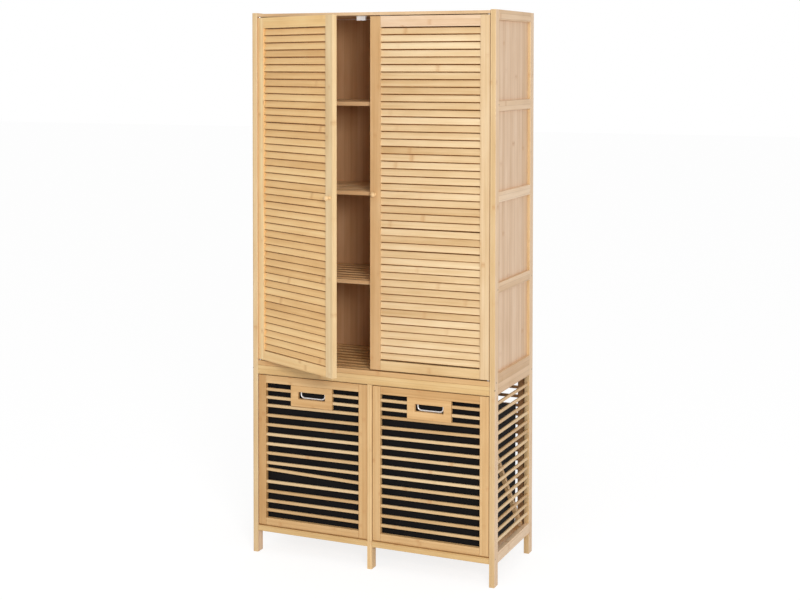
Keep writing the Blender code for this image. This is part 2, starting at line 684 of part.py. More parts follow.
def magnet_catch(side):
    """A magnet in a plastic case, fixed under the top board behind the door's head."""
    name = side_name(side) + "_magnet_catch"
    front = strike_rear() + CATCH_AIR_GAP
    top = TOP_BOARD_BOTTOM - SEAT_GAP
    x = mirrored(side, CATCH_CENTRE - CATCH_WIDTH / 2, CATCH_CENTRE + CATCH_WIDTH / 2)
    material = make_material(name + "_plastic", PLASTIC_WHITE, roughness=0.4)
    block(name, x, (front, front + CATCH_DEPTH), (top - CATCH_HEIGHT, top), material)


def strike_rear():
    """The rear face of a closed door's strike plate."""
    return DOOR_REAR + SEAT_GAP + STRIKE_THICKNESS


def louvre_outline(foot_z):
    """One slat's section in the YZ plane: its foot stands forward, its head leans back."""
    along = Vector((math.sin(LOUVRE_TILT), math.cos(LOUVRE_TILT)))
    inward = Vector((math.cos(LOUVRE_TILT), -math.sin(LOUVRE_TILT)))
    foot = Vector((DOOR_FRONT + LOUVRE_SETBACK, foot_z + LOUVRE_THICKNESS * math.sin(LOUVRE_TILT)))
    head = foot + along * LOUVRE_WIDTH
    return [foot, foot + inward * LOUVRE_THICKNESS, head + inward * LOUVRE_THICKNESS, head]


def louvre_slats(name, x):
    """All the slats of one door as one mesh."""
    section_height = LOUVRE_WIDTH * math.cos(LOUVRE_TILT) + LOUVRE_THICKNESS * math.sin(LOUVRE_TILT)
    lowest = LOUVRES_BOTTOM + LOUVRE_FOOT_GAP - LOUVRE_THICKNESS * math.sin(LOUVRE_TILT)
    highest = LOUVRES_TOP - LOUVRE_HEAD_GAP - section_height
    pitch = (highest - lowest) / (LOUVRE_COUNT - 1)
    slats = bmesh.new()
    for row in range(LOUVRE_COUNT):
        section = prism_mesh(name + "_slat", louvre_outline(lowest + row * pitch), "x", x)
        slats.from_mesh(section)
        bpy.data.meshes.remove(section)
    mesh = bpy.data.meshes.new(name)
    slats.to_mesh(mesh)
    slats.free()
    return mesh


def stile_outline(side, plain_edge, grooved_edge):
    """A door stile's section in the XY plane, with the groove that houses the slats' strip."""
    turn = 1 if grooved_edge > plain_edge else -1
    floor = grooved_edge - turn * LOUVRE_GROOVE_DEPTH
    low, high = louvre_groove_y()
    points = [
        (plain_edge, DOOR_FRONT), (grooved_edge, DOOR_FRONT), (grooved_edge, low), (floor, low),
        (floor, high), (grooved_edge, high), (grooved_edge, DOOR_REAR), (plain_edge, DOOR_REAR),
    ]
    return [(side * x, y) for x, y in points]


def louvre_strip_y():
    """The strips are a little deeper than the tilted slats, at front and rear."""
    reach = LOUVRE_WIDTH * math.sin(LOUVRE_TILT) + LOUVRE_THICKNESS * math.cos(LOUVRE_TILT)
    foot = DOOR_FRONT + LOUVRE_SETBACK
    return (foot - LOUVRE_STRIP_MARGIN, foot + reach + LOUVRE_STRIP_MARGIN)


def louvre_groove_y():
    """The groove round a strip."""
    return grown(louvre_strip_y(), SEAT_GAP)


def door(side):
    """One louvred door: two grooved stiles, two rails and the slats, on two pivot pins."""
    tag = side_name(side) + "_door"
    rest = -LEFT_DOOR_REST_ANGLE if side < 0 else 0.0
    axis = joint_empty(tag + "_axis", (side * DOOR_AXIS_X, DOOR_AXIS_Y, DOOR_BOTTOM))
    height = (DOOR_BOTTOM, DOOR_TOP)
    hinge_inner = DOOR_HINGE_EDGE - HINGE_STILE_WIDTH
    lock_inner = DOOR_FREE_EDGE + LOCK_STILE_WIDTH
    hinge_stile = prism(
        tag + "_hinge_stile", stile_outline(side, DOOR_HINGE_EDGE, hinge_inner), "z", height,
        bamboo(tag + "_hinge_stile", BAMBOO_DOOR), axis,
    )
    prism(
        tag + "_lock_stile", stile_outline(side, DOOR_FREE_EDGE, lock_inner), "z", height,
        bamboo(tag + "_lock_stile", BAMBOO_DOOR), axis,
    )
    rail_x = mirrored(side, lock_inner + SEAT_GAP, hinge_inner - SEAT_GAP)
    rail_y = (DOOR_FRONT, DOOR_REAR)
    block(
        tag + "_top_rail", rail_x, rail_y, (LOUVRES_TOP, DOOR_TOP),
        bamboo(tag + "_top_rail", BAMBOO_DOOR), axis,
    )
    block(
        tag + "_bottom_rail", rail_x, rail_y, (DOOR_BOTTOM, LOUVRES_BOTTOM),
        bamboo(tag + "_bottom_rail", BAMBOO_DOOR), axis,
    )
    lock_strip = (lock_inner - SEAT_GAP - LOUVRE_STRIP_WIDTH, lock_inner - SEAT_GAP)
    hinge_strip = (hinge_inner + SEAT_GAP, hinge_inner + SEAT_GAP + LOUVRE_STRIP_WIDTH)
    strip_z = (LOUVRES_BOTTOM + SEAT_GAP, LOUVRES_TOP - SEAT_GAP)
    strips = [(mirrored(side, *strip), louvre_strip_y(), strip_z) for strip in (lock_strip, hinge_strip)]
    slat_x = mirrored(side, sum(lock_strip) / 2, sum(hinge_strip) / 2)
    slats = louvre_slats(tag + "_louvres", slat_x)
    slat_pack(tag + "_louvres", slats, strips, bamboo(tag + "_louvres", BAMBOO_DOOR), axis)
    door_pins(side, tag, axis, hinge_stile)
    knob(side, tag, axis)
    strike_x = mirrored(side, CATCH_CENTRE - STRIKE_WIDTH / 2, CATCH_CENTRE + STRIKE_WIDTH / 2)
    strike_top = DOOR_TOP - STRIKE_DROP
    block(
        tag + "_strike_plate", strike_x, (DOOR_REAR + SEAT_GAP, strike_rear()),
        (strike_top - STRIKE_HEIGHT, strike_top), steel(tag + "_strike_plate"), axis,
    )
    axis.rotation_euler = (0.0, 0.0, rest)


def door_pins(side, tag, axis, stile):
    """Pins fixed in the ends of the hinge stile turn in holes in the two boards."""
    x = side * DOOR_AXIS_X
    radius = PIVOT_RADIUS + SEAT_GAP
    ends = {
        "top": (DOOR_TOP, -1, TOP_BOARD_BOTTOM + PIVOT_DEPTH_IN_BOARD),
        "bottom": (DOOR_BOTTOM, 1, FLOOR_BOARD_TOP - PIVOT_DEPTH_IN_BOARD),
    }
    holes = []
    for place, (edge, inward, outer_end) in ends.items():
        inner_end = edge + inward * PIVOT_DEPTH_IN_DOOR
        mouth = (x, DOOR_AXIS_Y, edge - inward * CUT_OVERRUN)
        floor = (x, DOOR_AXIS_Y, inner_end + inward * SEAT_GAP)
        holes.append((mouth, floor, radius))
        pin(
            tag + "_" + place + "_pin", (x, DOOR_AXIS_Y, inner_end), (x, DOOR_AXIS_Y, outer_end),
            PIVOT_RADIUS, axis,
        )
    drill(stile, tag + "_pin_holes", holes, axis)


def knob(side, tag, axis):
    """A turned knob: a short stem and a rounded head, made by turning its profile."""
    name = tag + "_knob"
    head_start = KNOB_LENGTH - KNOB_HEAD_DEPTH
    profile = []
    for step in range(KNOB_ARC_POINTS):
        turn = math.radians(90.0) * (1.0 - 2.0 * step / (KNOB_ARC_POINTS - 1))
        radius = KNOB_HEAD_RADIUS * math.cos(turn)
        height = head_start + KNOB_HEAD_DEPTH / 2 * (1.0 + math.sin(turn))
        if radius > KNOB_STEM_RADIUS or turn > 0.0:
            profile.append((max(radius, 0.0), height))
    profile[0] = (0.0, KNOB_LENGTH)
    profile.append((KNOB_STEM_RADIUS, head_start))
    profile.append((KNOB_STEM_RADIUS, 0.0))
    profile.append((0.0, 0.0))
    outline = bmesh.new()
    dots = [outline.verts.new((radius, 0.0, height)) for radius, height in profile]
    for first, second in zip(dots, dots[1:]):
        outline.edges.new((first, second))
    mesh = bpy.data.meshes.new(name)
    outline.to_mesh(mesh)
    outline.free()
    mesh.materials.append(bamboo(name, BAMBOO_DOOR))
    thing = bpy.data.objects.new(name, mesh)
    parts.objects.link(thing)
    turned = thing.modifiers.new("turned", "SCREW")
    turned.steps = KNOB_STEPS
    turned.render_steps = KNOB_STEPS
    turned.use_merge_vertices = True
    turned.merge_threshold = SEAT_GAP / 10
    thing.parent = axis
    place = Vector((side * (DOOR_FREE_EDGE + KNOB_INSET), DOOR_FRONT - SEAT_GAP, KNOB_HEIGHT))
    thing.location = place - axis.location
    thing.rotation_euler = (math.radians(90.0), 0.0, 0.0)


def hamper(side):
    """One tilting hamper: a slatted front on a floor board with a brace at each side."""
    tag = side_name(side) + "_hamper"
    centre = side * HAMPER_CENTRE
    axis = joint_empty(tag + "_axis", (centre, HAMPER_AXIS_Y, HAMPER_AXIS_Z))
    frame = hamper_frame(tag, centre, axis)
    hamper_pins(tag, centre, axis, frame)
    hamper_slats(tag, centre, axis)
    handle_plate(tag, centre, axis)
    hamper_bail(tag, centre, axis)
    hamper_floor(tag, centre, axis)
    hamper_braces(tag, centre, axis)
    laundry_bag(tag, centre, axis)


def hamper_opening():
    """Half width, bottom and top of the opening in a hamper's front frame."""
    return (
        HAMPER_HALF_WIDTH - HAMPER_STILE_WIDTH,
        HAMPER_BOTTOM + HAMPER_BOTTOM_RAIL_HEIGHT,
        HAMPER_TOP - HAMPER_TOP_RAIL_HEIGHT,
    )


def rectangle(centre, half, low, high):
    """The four corners of an upright rectangle."""
    return [(centre - half, low), (centre + half, low), (centre + half, high), (centre - half, high)]


def hamper_strip_y():
    """The strips that hold the slats, centred on them."""
    middle = HAMPER_FRONT + HAMPER_SLAT_SETBACK + HAMPER_SLAT_THICKNESS / 2
    return (middle - HAMPER_STRIP_THICKNESS / 2, middle + HAMPER_STRIP_THICKNESS / 2)


def hamper_frame(tag, centre, axis):
    """The front frame, grooved for the slats, its front lower edge eased to swing clear."""
    half, low, high = hamper_opening()
    frame = prism(
        tag + "_frame", rectangle(centre, HAMPER_HALF_WIDTH, HAMPER_BOTTOM, HAMPER_TOP), "y",
        (HAMPER_FRONT, HAMPER_REAR), bamboo(tag + "_frame"), axis,
        holes=[rectangle(centre, half, low, high)],
    )
    groove_y = grown(hamper_strip_y(), SEAT_GAP)
    inner = half - CUT_OVERRUN
    outer = half + HAMPER_GROOVE_DEPTH
    grooves = [
        ((centre + turn * inner, centre + turn * outer), groove_y, (low, high)) for turn in (1, -1)
    ]
    combine(frame, guide(tag + "_grooves", blocks_mesh(tag + "_grooves", grooves), axis), "DIFFERENCE")
    past = HAMPER_EDGE_CHAMFER + CUT_OVERRUN
    corner = [
        (HAMPER_FRONT - CUT_OVERRUN, HAMPER_BOTTOM - CUT_OVERRUN),
        (HAMPER_FRONT + past, HAMPER_BOTTOM - CUT_OVERRUN),
        (HAMPER_FRONT - CUT_OVERRUN, HAMPER_BOTTOM + past),
    ]
    reach = HAMPER_HALF_WIDTH + CUT_OVERRUN
    wedge = prism_mesh(tag + "_edge", corner, "x", (centre - reach, centre + reach))
    combine(frame, guide(tag + "_edge", wedge, axis), "DIFFERENCE")
    return frame


def hamper_pins(tag, centre, axis, frame):
    """Steel pins fixed in the frame's lower corners turn in holes in the posts."""
    outer = HAMPER_HALF_WIDTH + HAMPER_SIDE_GAP + HAMPER_PIVOT_DEPTH_IN_POST
    inner = HAMPER_HALF_WIDTH - HAMPER_PIVOT_DEPTH_IN_STILE
    holes = []
    for turn, word in ((1, "right"), (-1, "left")):
        start = (centre + turn * inner, HAMPER_AXIS_Y, HAMPER_AXIS_Z)
        end = (centre + turn * outer, HAMPER_AXIS_Y, HAMPER_AXIS_Z)
        pin(tag + "_" + word + "_pin", start, end, HAMPER_PIVOT_RADIUS, axis)
        floor = (centre + turn * (inner - SEAT_GAP), HAMPER_AXIS_Y, HAMPER_AXIS_Z)
        mouth = (centre + turn * (HAMPER_HALF_WIDTH + CUT_OVERRUN), HAMPER_AXIS_Y, HAMPER_AXIS_Z)
        holes.append((floor, mouth, HAMPER_PIVOT_RADIUS + SEAT_GAP))
    drill(frame, tag + "_pin_holes", holes, axis)


def hamper_slats(tag, centre, axis):
    """Long slats below the handle plate and short ones at each side of it."""
    half, low, high = hamper_opening()
    slat_y = (HAMPER_FRONT + HAMPER_SLAT_SETBACK, HAMPER_FRONT + HAMPER_SLAT_SETBACK + HAMPER_SLAT_THICKNESS)
    strip_near = half + SEAT_GAP
    strip_far = strip_near + HAMPER_STRIP_WIDTH
    reach = (strip_near + strip_far) / 2
    plate_low = high - SEAT_GAP - PLATE_HEIGHT
    long_top = plate_low - SEAT_GAP
    short_end = PLATE_WIDTH / 2 + SEAT_GAP
    slats = [
        ((centre - reach, centre + reach), slat_y, slat_z)
        for slat_z in slat_levels(long_top, low + HAMPER_SLAT_FOOT_GAP, HAMPER_SLAT_HEIGHT, HAMPER_SLAT_COUNT)
    ]
    for row in range(SHORT_SLAT_COUNT):
        top = long_top + (row + 1) * SHORT_SLAT_PITCH
        for turn in (1, -1):
            slat_x = (centre - PLATE_SHIFT + turn * short_end, centre + turn * reach)
            slats.append((slat_x, slat_y, (top - HAMPER_SLAT_HEIGHT, top)))
    strip_z = (low + SEAT_GAP, high - SEAT_GAP)
    strips = [
        ((centre + turn * strip_near, centre + turn * strip_far), hamper_strip_y(), strip_z)
        for turn in (1, -1)
    ]
    slat_pack(tag + "_slats", blocks_mesh(tag + "_slats", slats), strips, bamboo(tag + "_slats"), axis)


def hand_hole():
    """Bottom and top of the hand hole."""
    top = hamper_opening()[2] - SEAT_GAP - HAND_HOLE_DROP
    return (top - HAND_HOLE_HEIGHT, top)


def handle_plate(tag, centre, axis):
    """The plate under the top rail, with a hole for the hand."""
    middle = centre - PLATE_SHIFT
    high = hamper_opening()[2] - SEAT_GAP
    y = (HAMPER_FRONT + PLATE_SETBACK, HAMPER_FRONT + PLATE_SETBACK + PLATE_THICKNESS)
    prism(
        tag + "_handle_plate", rectangle(middle, PLATE_WIDTH / 2, high - PLATE_HEIGHT, high), "y", y,
        bamboo(tag + "_handle_plate"), axis, holes=[rectangle(middle, HAND_HOLE_WIDTH / 2, *hand_hole())],
    )


def hamper_bail(tag, centre, axis):
    """A bright wire bail behind the hand hole: two legs, round corners and a level grip."""
    name = tag + "_bail"
    bottom, top = hand_hole()
    wire_y = HAMPER_FRONT + PLATE_SETBACK + PLATE_THICKNESS + SEAT_GAP + BAIL_WIRE_RADIUS
    level = bottom + BAIL_BOTTOM_RISE
    half_width = HAND_HOLE_WIDTH / 2 - BAIL_SIDE_GAP
    half_path = [(half_width, top + BAIL_TOP_RISE)]
    for step in range(BAIL_ARC_POINTS):
        turn = math.radians(90.0) * step / (BAIL_ARC_POINTS - 1)
        x = half_width - BAIL_BEND_RADIUS * (1.0 - math.cos(turn))
        half_path.append((x, level + BAIL_BEND_RADIUS * (1.0 - math.sin(turn))))
    path = half_path + [(-x, z) for x, z in reversed(half_path)]
    curve = bpy.data.curves.new(name, "CURVE")
    curve.dimensions = "3D"
    curve.bevel_depth = BAIL_WIRE_RADIUS
    curve.bevel_resolution = 2
    curve.use_fill_caps = True
    spline = curve.splines.new("POLY")
    spline.points.add(len(path) - 1)
    for point, (x, z) in zip(spline.points, path):
        point.co = (x, 0.0, z, 1.0)
    thing = bpy.data.objects.new(name, curve)
    parts.objects.link(thing)
    curve.materials.append(steel(name))
    thing.parent = axis
    thing.location = Vector((centre - PLATE_SHIFT, wire_y, 0.0)) - axis.location


def hamper_floor(tag, centre, axis):
    """The floor board, with a batten under each side between the foot rails."""
    name = tag + "_floor"
    board = block(
        name, (centre - BASE_HALF_WIDTH, centre + BASE_HALF_WIDTH), (HAMPER_REAR + SEAT_GAP, BASE_REAR),
        (HAMPER_BOTTOM, HAMPER_BOTTOM + BASE_THICKNESS), bamboo(name), axis,
    )
    outer = BASE_HALF_WIDTH - BASE_BATTEN_INSET
    batten_y = (
        FRONT + FOOT_FRONT_RAIL_DEPTH + BASE_BATTEN_CLEARANCE, POST_FRONT_OF_REAR - BASE_BATTEN_CLEARANCE,
    )
    batten_z = (HAMPER_BOTTOM - BASE_BATTEN_DROP, HAMPER_BOTTOM + BASE_THICKNESS / 2)
    battens = [
        ((centre + turn * (outer - BASE_BATTEN_WIDTH), centre + turn * outer), batten_y, batten_z)
        for turn in (1, -1)
    ]
    combine(board, guide(name + "_battens", blocks_mesh(name + "_battens", battens), axis), "UNION")


def hamper_braces(tag, centre, axis):
    """A diagonal stick at each side from the front frame down to the floor's side."""
    start = HAMPER_REAR + SEAT_GAP
    foot = BASE_REAR - BRACE_FOOT_SETBACK
    head = HAMPER_BOTTOM + BRACE_HEAD_RISE
    slope = BRACE_HEAD_RISE / (foot - start)
    rise = BRACE_WIDTH / 2 * math.hypot(1.0, slope)
    outline = [
        (start, head - rise), (foot - rise / slope, HAMPER_BOTTOM), (foot + rise / slope, HAMPER_BOTTOM),
        (start, head + rise),
    ]
    near = BASE_HALF_WIDTH + SEAT_GAP
    for turn, word in ((1, "right"), (-1, "left")):
        span = (centre + turn * near, centre + turn * (near + BRACE_THICKNESS))
        name = tag + "_" + word + "_brace"
        prism(name, outline, "x", span, bamboo(name, BAMBOO_PANEL), axis)


def laundry_bag(tag, centre, axis):
    """A fabric bag, open at the top, standing on the hamper's floor."""
    name = tag + "_bag"
    wire_rear = HAMPER_FRONT + PLATE_SETBACK + PLATE_THICKNESS + SEAT_GAP + 2 * BAIL_WIRE_RADIUS
    front = max(wire_rear, HAMPER_REAR) + BAG_FRONT_GAP
    low = HAMPER_BOTTOM + BASE_THICKNESS + SEAT_GAP
    foot_rear = BASE_REAR - BAG_BOTTOM_SETBACK
    rim_rear = BASE_REAR - BAG_TOP_SETBACK
    rear_top = HAMPER_TOP - BAG_REAR_DROP
    outline = [
        (front, low), (foot_rear, low), (rim_rear, rear_top),
        (front + BAG_MIDDLE_DEPTH, HAMPER_TOP - BAG_MIDDLE_DROP), (front, HAMPER_TOP - BAG_FRONT_DROP),
    ]
    lean = (rim_rear - foot_rear) / (rear_top - low)
    floor = low + BAG_WALL
    rear_low = foot_rear - BAG_WALL + lean * BAG_WALL
    above = HAMPER_TOP - BAG_FRONT_DROP + CUT_OVERRUN
    hollow = [
        (front + BAG_WALL, floor), (rear_low, floor), (rear_low + lean * (above - floor), above),
        (front + BAG_WALL, above),
    ]
    half = BASE_HALF_WIDTH - BAG_SIDE_GAP
    material = make_material(name + "_fabric", FABRIC_BLACK, roughness=0.95)
    bag = prism(name, outline, "x", (centre - half, centre + half), material, axis)
    inside = half - BAG_WALL
    cavity = prism_mesh(name + "_hollow", hollow, "x", (centre - inside, centre + inside))
    combine(bag, guide(name + "_hollow", cavity, axis), "DIFFERENCE")


def build_cabinet():
    """Every piece of the cabinet."""
    for side in (-1, 1):
        side_frame(side)
        side_panel(side)
        side_grille(side)
        magnet_catch(side)
    boards_and_shelves()
    cross_rails()
    back()
    for side in (-1, 1):
        door(side)
        hamper(side)


clear_scene()
parts = new_collection("bathroom_cabinet")
cutters = new_collection("cutters")
build_cabinet()
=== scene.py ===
"""Looks of the bathroom cabinet: lacquered bamboo, black laundry bags and bright wire bails.

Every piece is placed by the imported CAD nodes, in metres, in the same frame.
"""

import json
import math
import random

import bmesh
import bpy
from mathutils import Matrix, Vector


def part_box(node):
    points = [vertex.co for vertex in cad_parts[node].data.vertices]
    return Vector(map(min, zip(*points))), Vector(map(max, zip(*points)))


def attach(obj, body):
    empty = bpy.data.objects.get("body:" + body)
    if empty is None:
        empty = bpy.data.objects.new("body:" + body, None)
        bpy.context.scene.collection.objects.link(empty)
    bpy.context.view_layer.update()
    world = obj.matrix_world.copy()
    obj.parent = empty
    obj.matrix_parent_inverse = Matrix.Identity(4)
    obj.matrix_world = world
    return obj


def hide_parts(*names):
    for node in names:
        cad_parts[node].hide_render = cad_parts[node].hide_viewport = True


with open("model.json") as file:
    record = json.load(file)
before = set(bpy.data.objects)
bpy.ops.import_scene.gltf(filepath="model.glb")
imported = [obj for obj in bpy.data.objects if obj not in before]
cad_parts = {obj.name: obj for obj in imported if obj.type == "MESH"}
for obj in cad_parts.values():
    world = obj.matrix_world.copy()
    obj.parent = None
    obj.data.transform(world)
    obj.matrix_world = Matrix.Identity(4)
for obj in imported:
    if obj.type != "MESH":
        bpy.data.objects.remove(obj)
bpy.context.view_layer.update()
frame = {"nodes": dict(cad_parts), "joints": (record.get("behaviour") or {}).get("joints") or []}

SIDES = {"left": -1, "right": 1}
AXES = "xyz"

# Maps that the boards carry for their materials: place in the grain, own tone, narrow faces for
# painted shade
GRAIN_MAP = "Grain"
TONE = "tone"
EDGE_SHADE_MASK = "rim"

# Camera, fitted to the photograph
CAMERA_PLACE = (1.8876, -4.2721, 1.6270)
CAMERA_YAW = math.radians(24.2973)
CAMERA_DIP = math.radians(1.8904)
CAMERA_LENS = 65.534
CAMERA_SENSOR = 36.0
CAMERA_SHIFT = (0.05, -0.2332)
CAMERA_REACH = 200.0

# Light: an even sky, a round lamp in front of the right corner and a soft fill from above
WHITE = (1.0, 1.0, 1.0, 1.0)
BACKGROUND_LIGHT = 1.0
SKY_LIGHT = 0.55
KEY_PLACE = (2.257, -3.542, 2.100)
KEY_AIM = (0.0, 0.0, 1.1)
KEY_SIZE = 1.1
KEY_POWER = 84.0
FILL_LIGHT = 0.40
FILL_TOWARD = (0.112, -0.633, 0.766)
FILL_SOFTNESS = math.radians(45.0)

# Floor: FLOOR_SHADE is how pale it is where it is seen, FLOOR_LIGHT what the lamps add there
FLOOR_SIZE = 60.0
FLOOR_GREY = 0.88
FLOOR_SHADE = 0.25
FLOOR_LIGHT = 0.75
FLOOR_WHITE = 1.01


def srgb(red, green, blue):
    """A colour as a screen shows it, 0 to 255, in the shader's linear values."""
    values = []
    for channel in (red, green, blue):
        level = channel / 255.0
        values.append(level / 12.92 if level <= 0.04045 else ((level + 0.055) / 1.055) ** 2.4)
    return (*values, 1.0)


# ---- shader nodes


class Graph:
    """The nodes of a new material or world, with short calls that make and join them."""

    def __init__(self, owner):
        owner.use_nodes = True
        self.owner = owner
        self.tree = owner.node_tree

    def set(self, socket, value):
        """Give a socket a number or a colour, or join it to another socket."""
        if isinstance(value, bpy.types.NodeSocket):
            self.tree.links.new(value, socket)
        else:
            socket.default_value = value

    def node(self, kind, inputs=None, **settings):
        """A node with its settings and inputs."""
        made = self.tree.nodes.new(kind)
        for key, value in settings.items():
            setattr(made, key, value)
        for key, value in (inputs or {}).items():
            self.set(made.inputs[key], value)
        return made

    def math(self, operation, first, second=0.0, third=0.0, clamp=False):
        """A Math node's result."""
        inputs = {0: first, 1: second, 2: third}
        return self.node("ShaderNodeMath", inputs, operation=operation, use_clamp=clamp).outputs[0]

    def vector(self, x, y, z):
        """Three values as one vector."""
        return self.node("ShaderNodeCombineXYZ", {0: x, 1: y, 2: z}).outputs[0]

    def split(self, vector):
        """A vector's three values."""
        return list(self.node("ShaderNodeSeparateXYZ", {0: vector}).outputs)

    def board_map(self):
        """A place in the map that the script gives its own meshes, as three values."""
        return self.split(self.node("ShaderNodeUVMap", uv_map=GRAIN_MAP).outputs["UV"])

    def object_place(self):
        """A place on the object, in metres."""
        return self.node("ShaderNodeTexCoord").outputs["Object"]

    def attribute(self, name):
        """A number that the mesh carries."""
        return self.node("ShaderNodeAttribute", attribute_name=name).outputs["Fac"]

    def noise(self, place, scales, detail=2.0, roughness=0.5):
        """Noise, about 0 to 1, at a scale of its own for each of three values."""
        vector = self.vector(*(self.math("MULTIPLY", *pair) for pair in zip(place, scales)))
        inputs = {"Vector": vector, "Scale": 1.0, "Detail": detail, "Roughness": roughness}
        return self.node("ShaderNodeTexNoise", inputs).outputs["Fac"]

    def random(self, x, y):
        """A value from 0 to 1 that is fixed for each pair of numbers."""
        inputs = {"Vector": self.vector(x, y, 0.0)}
        return self.node("ShaderNodeTexWhiteNoise", inputs).outputs["Value"]

    def ramp_down(self, value, full, none):
        """1 up to full, 0 from none on, and smooth between."""
        inputs = {"Value": value, "From Min": full, "From Max": none, "To Min": 1.0, "To Max": 0.0}
        made = self.node("ShaderNodeMapRange", inputs, interpolation_type="SMOOTHSTEP")
        return made.outputs["Result"]

    def mix(self, factor, first, second):
        """Two colours mixed."""
        inputs = {0: factor, 6: first, 7: second}
        return self.node("ShaderNodeMix", inputs, data_type="RGBA").outputs[2]

    def ramp(self, factor, stops):
        """A colour ramp through (place, colour) stops."""
        made = self.node("ShaderNodeValToRGB", {"Fac": factor})
        elements = made.color_ramp.elements
        while len(elements) < len(stops):
            elements.new(0.5)
        for element, (place, colour) in zip(elements, stops):
            element.position = place
            element.color = colour
        return made.outputs["Color"]

    def bump(self, height, strength, distance):
        """A bump normal."""
        inputs = {"Height": height, "Strength": strength, "Distance": distance}
        return self.node("ShaderNodeBump", inputs).outputs["Normal"]

    def weighted(self, base, *terms):
        """base plus the sum of (value - 0.5) * weight."""
        total = base
        for value, weight in terms:
            offset = self.math("SUBTRACT", value, 0.5)
            total = self.math("MULTIPLY_ADD", offset, weight, total)
        return total

    def finish(self, colour, roughness, normal, **plain):
        """The finished material; plain numbers are set on the shader's own sockets."""
        inputs = self.tree.nodes["Principled BSDF"].inputs
        self.set(inputs["Base Color"], colour)
        self.set(inputs["Roughness"], roughness)
        self.set(inputs["Normal"], normal)
        for key, value in plain.items():
            inputs[key.replace("_", " ")].default_value = value
        return self.owner


# ---- bamboo

KNUCKLE = srgb(196, 138, 82)
KNUCKLE_RING = srgb(150, 98, 54)
GLUE_LINE = srgb(146, 102, 62)
# Warm brown for narrow faces: painted shade for the dark lines between louvres
EDGE_SHADE_BROWN = srgb(158, 94, 16)
# Darkest and lightest fibres as shares of a board's middle colour, and the brightest there may be
DARK_SHARE = (0.90, 0.85, 0.77)
LIGHT_SHARE = (1.07, 1.12, 1.20)
BRIGHTEST = 252.0

# Scale of each noise along the grain and across it, per metre
FIBRES = (9.0, 420.0)
STREAKS = (2.2, 95.0)
CLOUDS = (7.0, 22.0)
WOBBLE = (60.0, 160.0)

# Where a glue line, a knuckle's band and its ring are full and where they end, in metres
GLUE_LINE_REACH = (0.0002, 0.0009)
BAND_REACH = (0.001, 0.013)
RING_REACH = (0.0003, 0.0016)
RING_OFFSET = 0.002
BAND_DEPTH, RING_DEPTH = 0.42, 0.22

# Strips differ in tone and in where their knuckles are, by as many gaps as KNUCKLE_SPREAD; the
# knuckles waver across a strip, and KNUCKLE_SHOWN says how few of them show
TONE_SEED, KNUCKLE_SEED, BOARD_SEEDS = 3.0, 11.0, 997.0
KNUCKLE_SPREAD = 7.3
KNUCKLE_WAVER = 0.012
KNUCKLE_SHOWN = (1.8, -0.8)


def tone_stops(middle):
    """The ramp from the darkest to the lightest fibres of a board."""
    dark = srgb(*(channel * share for channel, share in zip(middle, DARK_SHARE)))
    light = srgb(*(min(channel * share, BRIGHTEST) for channel, share in zip(middle, LIGHT_SHARE)))
    return [(0.08, dark), (0.5, srgb(*middle)), (0.92, light)]


def glued_strips(g, across, strip):
    """The number of the strip at a place, and 1 on the line between two strips."""
    strips = g.math("DIVIDE", across, strip)
    in_strip = g.math("ABSOLUTE", g.math("SUBTRACT", g.math("FRACT", strips), 0.5))
    from_line = g.math("MULTIPLY", g.math("SUBTRACT", 0.5, in_strip), strip)
    return g.math("FLOOR", strips), g.ramp_down(from_line, *GLUE_LINE_REACH)


def knuckles(g, along, wobble, strip_number, gap):
    """The brown band and the dark ring of a strip's knuckles, one in each gap at most."""
    shift = g.math("MULTIPLY", g.random(strip_number, KNUCKLE_SEED), KNUCKLE_SPREAD)
    waver = g.math("MULTIPLY", g.math("SUBTRACT", wobble, 0.5), KNUCKLE_WAVER)
    stations = g.math("ADD", g.math("ADD", g.math("DIVIDE", along, gap), shift), waver)
    chance = g.random(g.math("FLOOR", stations), strip_number)
    shown = g.math("MULTIPLY_ADD", chance, *KNUCKLE_SHOWN, clamp=True)
    place = g.math("MULTIPLY", g.math("SUBTRACT", g.math("FRACT", stations), 0.5), gap)
    from_ring = g.math("ABSOLUTE", g.math("SUBTRACT", place, RING_OFFSET))
    band = g.ramp_down(g.math("ABSOLUTE", place), *BAND_REACH)
    ring = g.ramp_down(from_ring, *RING_REACH)
    return g.math("MULTIPLY", band, shown), g.math("MULTIPLY", ring, shown)


